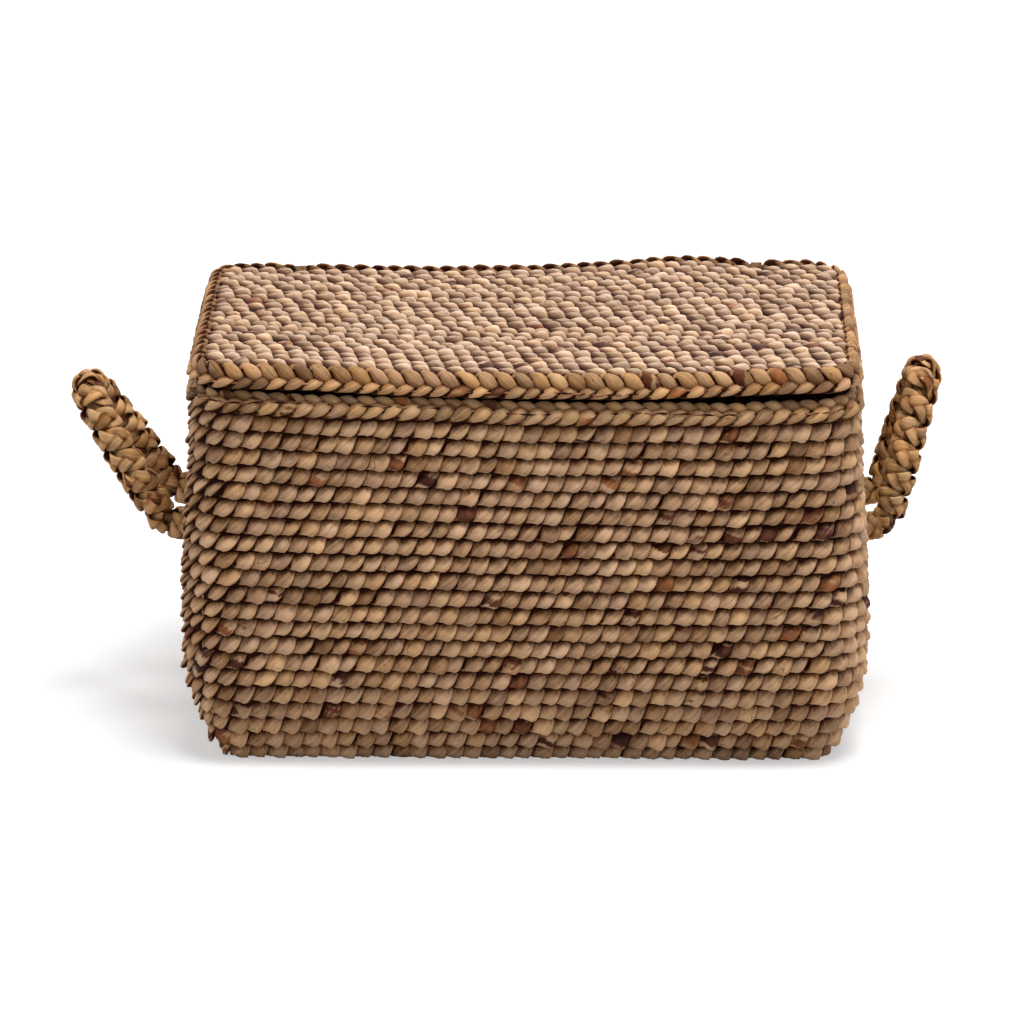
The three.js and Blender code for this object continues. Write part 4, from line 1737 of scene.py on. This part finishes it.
    def _core(self, body: str, finish: bpy.types.Material, seed: int) -> None:
        """Makes the rope core, three strands laid along the loop to a little past both pivots."""
        distance = np.linspace(-self.core_overrun, self.length + self.core_overrun, self.core_steps)
        centre, out = self._around(distance, np.zeros_like(distance), np.zeros_like(distance))
        mesh = StrandMesh(self.rope_sides)
        self._rope(seed).lay(mesh, sampled_course(centre, out, False))
        piece = mesh.build(f"handle_{self.place}_rope", finish, as_is)
        place_piece(piece, body, "core_rope", f"handle_{self.place}_core")

    @staticmethod
    def _rope(seed: int) -> Twist:
        """The lay of the handle's rope: three strands."""
        return Twist(
            np.random.default_rng(seed),
            lobe_pitch=8.0 * MM,
            twist_out=3.2 * MM,
            twist_across=3.2 * MM,
            half_thick=3.1 * MM,
            half_wide=3.7 * MM,
            strands=3,
            unevenness=0.4,
        )

    def _anchor(self, finish: bpy.types.Material, seed: int) -> None:
        """Makes the rope that comes out of the wall at both legs and runs between them inside.

        Its route is three straight runs with rounded corners, sampled evenly along it. It thins out towards
        the pivots.
        """
        low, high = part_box(f"handle_{self.place}_anchor")
        outer = abs(self.pivot[0]) - self.anchor_short
        inner = min(abs(low.x), abs(high.x)) + self.rope_radius
        half = self.spread / 2.0
        corner = self.anchor_bend
        turn = np.linspace(0.0, math.pi / 2.0, self.anchor_bend_steps)
        arc_x = inner + corner * (1.0 - np.sin(turn))
        arc_y = half - corner * (1.0 - np.cos(turn))
        route_x = np.concatenate([[outer], arc_x, arc_x[::-1], [outer]])
        route_y = np.concatenate([[-half], -arc_y, arc_y[::-1], [half]])
        travel = np.concatenate([[0.0], np.cumsum(np.hypot(np.diff(route_x), np.diff(route_y)))])
        place = np.linspace(0.0, travel[-1], self.anchor_steps)
        x = self.sign * np.interp(place, travel, route_x)
        y = np.interp(place, travel, route_y)
        centre = np.stack([x, y, np.full_like(x, self.pivot[2])], axis=1)
        from_end = np.minimum(place, travel[-1] - place)
        size = self.anchor_tip + (1.0 - self.anchor_tip) * ease(0.0, self.anchor_taper, from_end)
        mesh = StrandMesh(self.rope_sides)
        course = sampled_course(centre, np.broadcast_to(UP, centre.shape), False)
        self._rope(seed).lay(mesh, course, size)
        piece = mesh.build(f"handle_{self.place}_anchor_rope", finish, as_is)
        place_piece(piece, "basket", "core_rope", f"handle_{self.place}_anchor")


@dataclass(frozen=True)
class Studio:
    """Pale floor, soft lamps and the camera at the photograph's angle."""

    azimuth: float = 0.73
    elevation: float = 17.73
    distance: float = 4.377
    lens: float = 239.2
    aim: tuple[float, float, float] = (-0.0113, 0.0, 0.1292)
    lamp_aim: tuple[float, float, float] = (0.0, 0.0, 0.13)
    floor_colour: Colour = (206, 205, 204)
    floor_reach: float = 6.0
    floor_glow: float = 0.42
    far_glow: float = 0.6
    far_span: tuple[float, float] = (0.6, 2.2)
    ambient: float = 0.33

    def build(self) -> None:
        """Makes the floor, the world, the lamps and the camera."""
        self._floor()
        self._world()
        self._lamp("key softbox", (0.32, -0.35, 2.3), size=1.1, power=57.0)
        self._lamp("front fill", (-0.6, -2.8, 1.3), size=1.4, power=11.0)
        self._lamp("back rim", (0.3, 2.2, 1.6), size=1.2, power=14.0)
        for place, sign in SIDES:
            self._lamp(f"{place} side", (2.4 * sign, 0.5, 0.35), size=1.2, power=20.0)
        self._camera()
        bpy.context.scene.view_settings.view_transform = "Standard"

    def _floor(self) -> None:
        """A wide pale sheet under the box, which shows white to the camera where no shadow falls."""
        mesh = bpy.data.meshes.new("floor")
        reach = self.floor_reach
        corners = [(-reach, -reach, 0.0), (reach, -reach, 0.0), (reach, reach, 0.0), (-reach, reach, 0.0)]
        mesh.from_pydata(corners, [], [(0, 1, 2, 3)])
        shader = Shader("pale floor")
        ray = shader.node("ShaderNodeLightPath", {}, {}, "Is Camera Ray")
        place = shader.node("ShaderNodeTexCoord", {}, {}, "Object")
        away = shader.node("ShaderNodeVectorMath", {"operation": "LENGTH"}, {0: place}, "Value")
        seen = ray * (self.floor_glow + away.step(*self.far_span) * self.far_glow)
        white = shader.mix(seen, linear((0, 0, 0)), linear((255, 255, 255)))
        lit = shader.node("ShaderNodeBsdfDiffuse", {}, {"Color": linear(self.floor_colour)})
        glow = shader.node("ShaderNodeEmission", {}, {"Color": white})
        both = shader.node("ShaderNodeAddShader", {}, {0: lit, 1: glow})
        mesh.materials.append(shader.surface(both))
        floor = bpy.data.objects.new("floor", mesh)
        bpy.context.scene.collection.objects.link(floor)

    def _world(self) -> None:
        """Even soft light from all round, which the camera sees as white."""
        world = bpy.data.worlds.new("studio")
        bpy.context.scene.world = world
        world.use_nodes = True
        nodes, links = world.node_tree.nodes, world.node_tree.links
        ray = nodes.new("ShaderNodeLightPath")
        strength = nodes.new("ShaderNodeMapRange")
        strength.inputs["To Min"].default_value = self.ambient
        strength.inputs["To Max"].default_value = 1.0
        links.new(ray.outputs["Is Camera Ray"], strength.inputs["Value"])
        background = nodes["Background"]
        background.inputs["Color"].default_value = (1.0, 1.0, 1.0, 1.0)
        links.new(strength.outputs["Result"], background.inputs["Strength"])

    def _lamp(self, name: str, place: tuple[float, float, float], size: float, power: float) -> None:
        """A square softbox at a place, turned to the middle of the box."""
        lamp = bpy.data.lights.new(name, "AREA")
        lamp.size = size
        lamp.energy = power
        made = bpy.data.objects.new(name, lamp)
        made.location = place
        made.rotation_euler = aim_angles(np.array(self.lamp_aim) - np.array(place))
        bpy.context.scene.collection.objects.link(made)

    def _camera(self) -> None:
        """The camera, turned to its aim from its azimuth and elevation."""
        azimuth, elevation = math.radians(self.azimuth), math.radians(self.elevation)
        back = np.array(
            [
                math.sin(azimuth) * math.cos(elevation),
                -math.cos(azimuth) * math.cos(elevation),
                math.sin(elevation),
            ]
        )
        camera = bpy.data.cameras.new("camera")
        camera.lens = self.lens
        camera.sensor_width = 36.0
        camera.clip_end = 50.0
        made = bpy.data.objects.new("camera", camera)
        made.location = np.array(self.aim) + self.distance * back
        made.rotation_euler = aim_angles(-back)
        bpy.context.scene.collection.objects.link(made)
        bpy.context.scene.camera = made


def aim_angles(towards: Array) -> tuple[float, float, float]:
    """Euler angles that turn a lamp or camera, which looks along -Z, to look along a direction."""
    flat = math.hypot(towards[0], towards[1])
    pitch = math.atan2(flat, -towards[2])
    return (pitch, 0.0, math.atan2(-towards[0], towards[1]))


def joint_place(name: str) -> Array:
    """Where a joint of the frame sits."""
    return np.array(next(joint["pos_m"] for joint in frame["joints"] if joint["name"] == name))


def dress_stakes(cane: bpy.types.Material) -> None:
    """Gives the corner stakes of the CAD model, which stay as they are, their rattan finish."""
    for name, node in frame["nodes"].items():
        if name.startswith("corner_stake"):
            node.data.materials.clear()
            node.data.materials.append(cane)


def dress_ties(lid_settling: Settling, tie_places: TiePlaces, rope: bpy.types.Material) -> None:
    """Makes the hinge ties, each as high as the lid's settled border in it.

    Args:
        lid_settling: how the lid has settled.
        tie_places: where the ties are.
        rope: their material.
    """
    hinge = joint_place("lid_hinge")
    border_crest = 4.9 * MM
    for (place, _), x in zip(SIDES, tie_places.places):
        at_rest = np.array([[x, hinge[1], hinge[2]]])
        raised = lid_settling.bend(at_rest) - at_rest
        HingeTie(place, float(hinge[2]), border_crest + float(raised[0, 2])).build(rope)


def dress_handles(rope: bpy.types.Material) -> None:
    """Makes both handles at their lifts.

    Args:
        rope: the material of their cores and anchors.
    """
    wrap = HANDLE_FINISH.material()
    for place, sign in SIDES:
        lift = math.radians(HANDLE_LIFT_DEG[place])
        pivot = joint_place(f"handle_{place}_swing")
        RopeHandle(place, sign, lift, HANDLE_FOOT_SIZE[place], pivot).build(wrap, rope)


def main() -> None:
    """Builds the studio and every piece."""
    logging.basicConfig(level=logging.INFO, format="%(name)s %(message)s")
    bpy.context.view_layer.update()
    _, lid_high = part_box("lid_border_plait")
    _, course_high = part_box(f"wall_course_{COURSE_COUNT:02d}")
    lid_settling = Settling(
        half_depth=lid_high.y,
        full_height=course_high.z,
        places=mm(-212, -140, -65, 10, 85, 121, 159, 212),
        rises=mm(6.3, 5.5, 1.6, 0.2, 0.5, 2.0, 4.0, 4.8),
        back_places=mm(-212, 15, 60, 105, 150, 180, 212),
        back_rises=mm(0.0, 0.0, 2.8, 6.2, 3.2, 3.4, 2.0),
    )
    wall_settling = Settling(
        half_depth=lid_high.y,
        full_height=course_high.z,
        places=mm(-212, -177, -140, -65, 10, 85, 134, 159, 212),
        rises=mm(4.5, 3.9, 1.8, 0.0, -2.8, -2.7, -3.1, -1.8, 0.0),
        back_places=mm(-212, 15, 60, 105, 140, 160, 180, 212),
        back_rises=mm(-0.4, -0.4, -3.2, -6.6, -2.4, -2.4, -4.0, -2.6),
    )
    ties = [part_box(f"hinge_tie_{place}") for place, _ in SIDES]
    tie_places = TiePlaces(tuple((low.x + high.x) / 2.0 for low, high in ties))
    cane, cord, rope = RattanFinish().material(), CORD_FINISH.material(), ROPE_FINISH.material()
    Studio().build()
    WovenWall(lid_high.x, wall_settling, tie_places).build(cord)
    WovenLid(lid_settling, tie_places).build(cane, cord)
    dress_ties(lid_settling, tie_places, rope)
    dress_handles(rope)
    dress_stakes(cane)


if __name__ == "__main__":
    main()
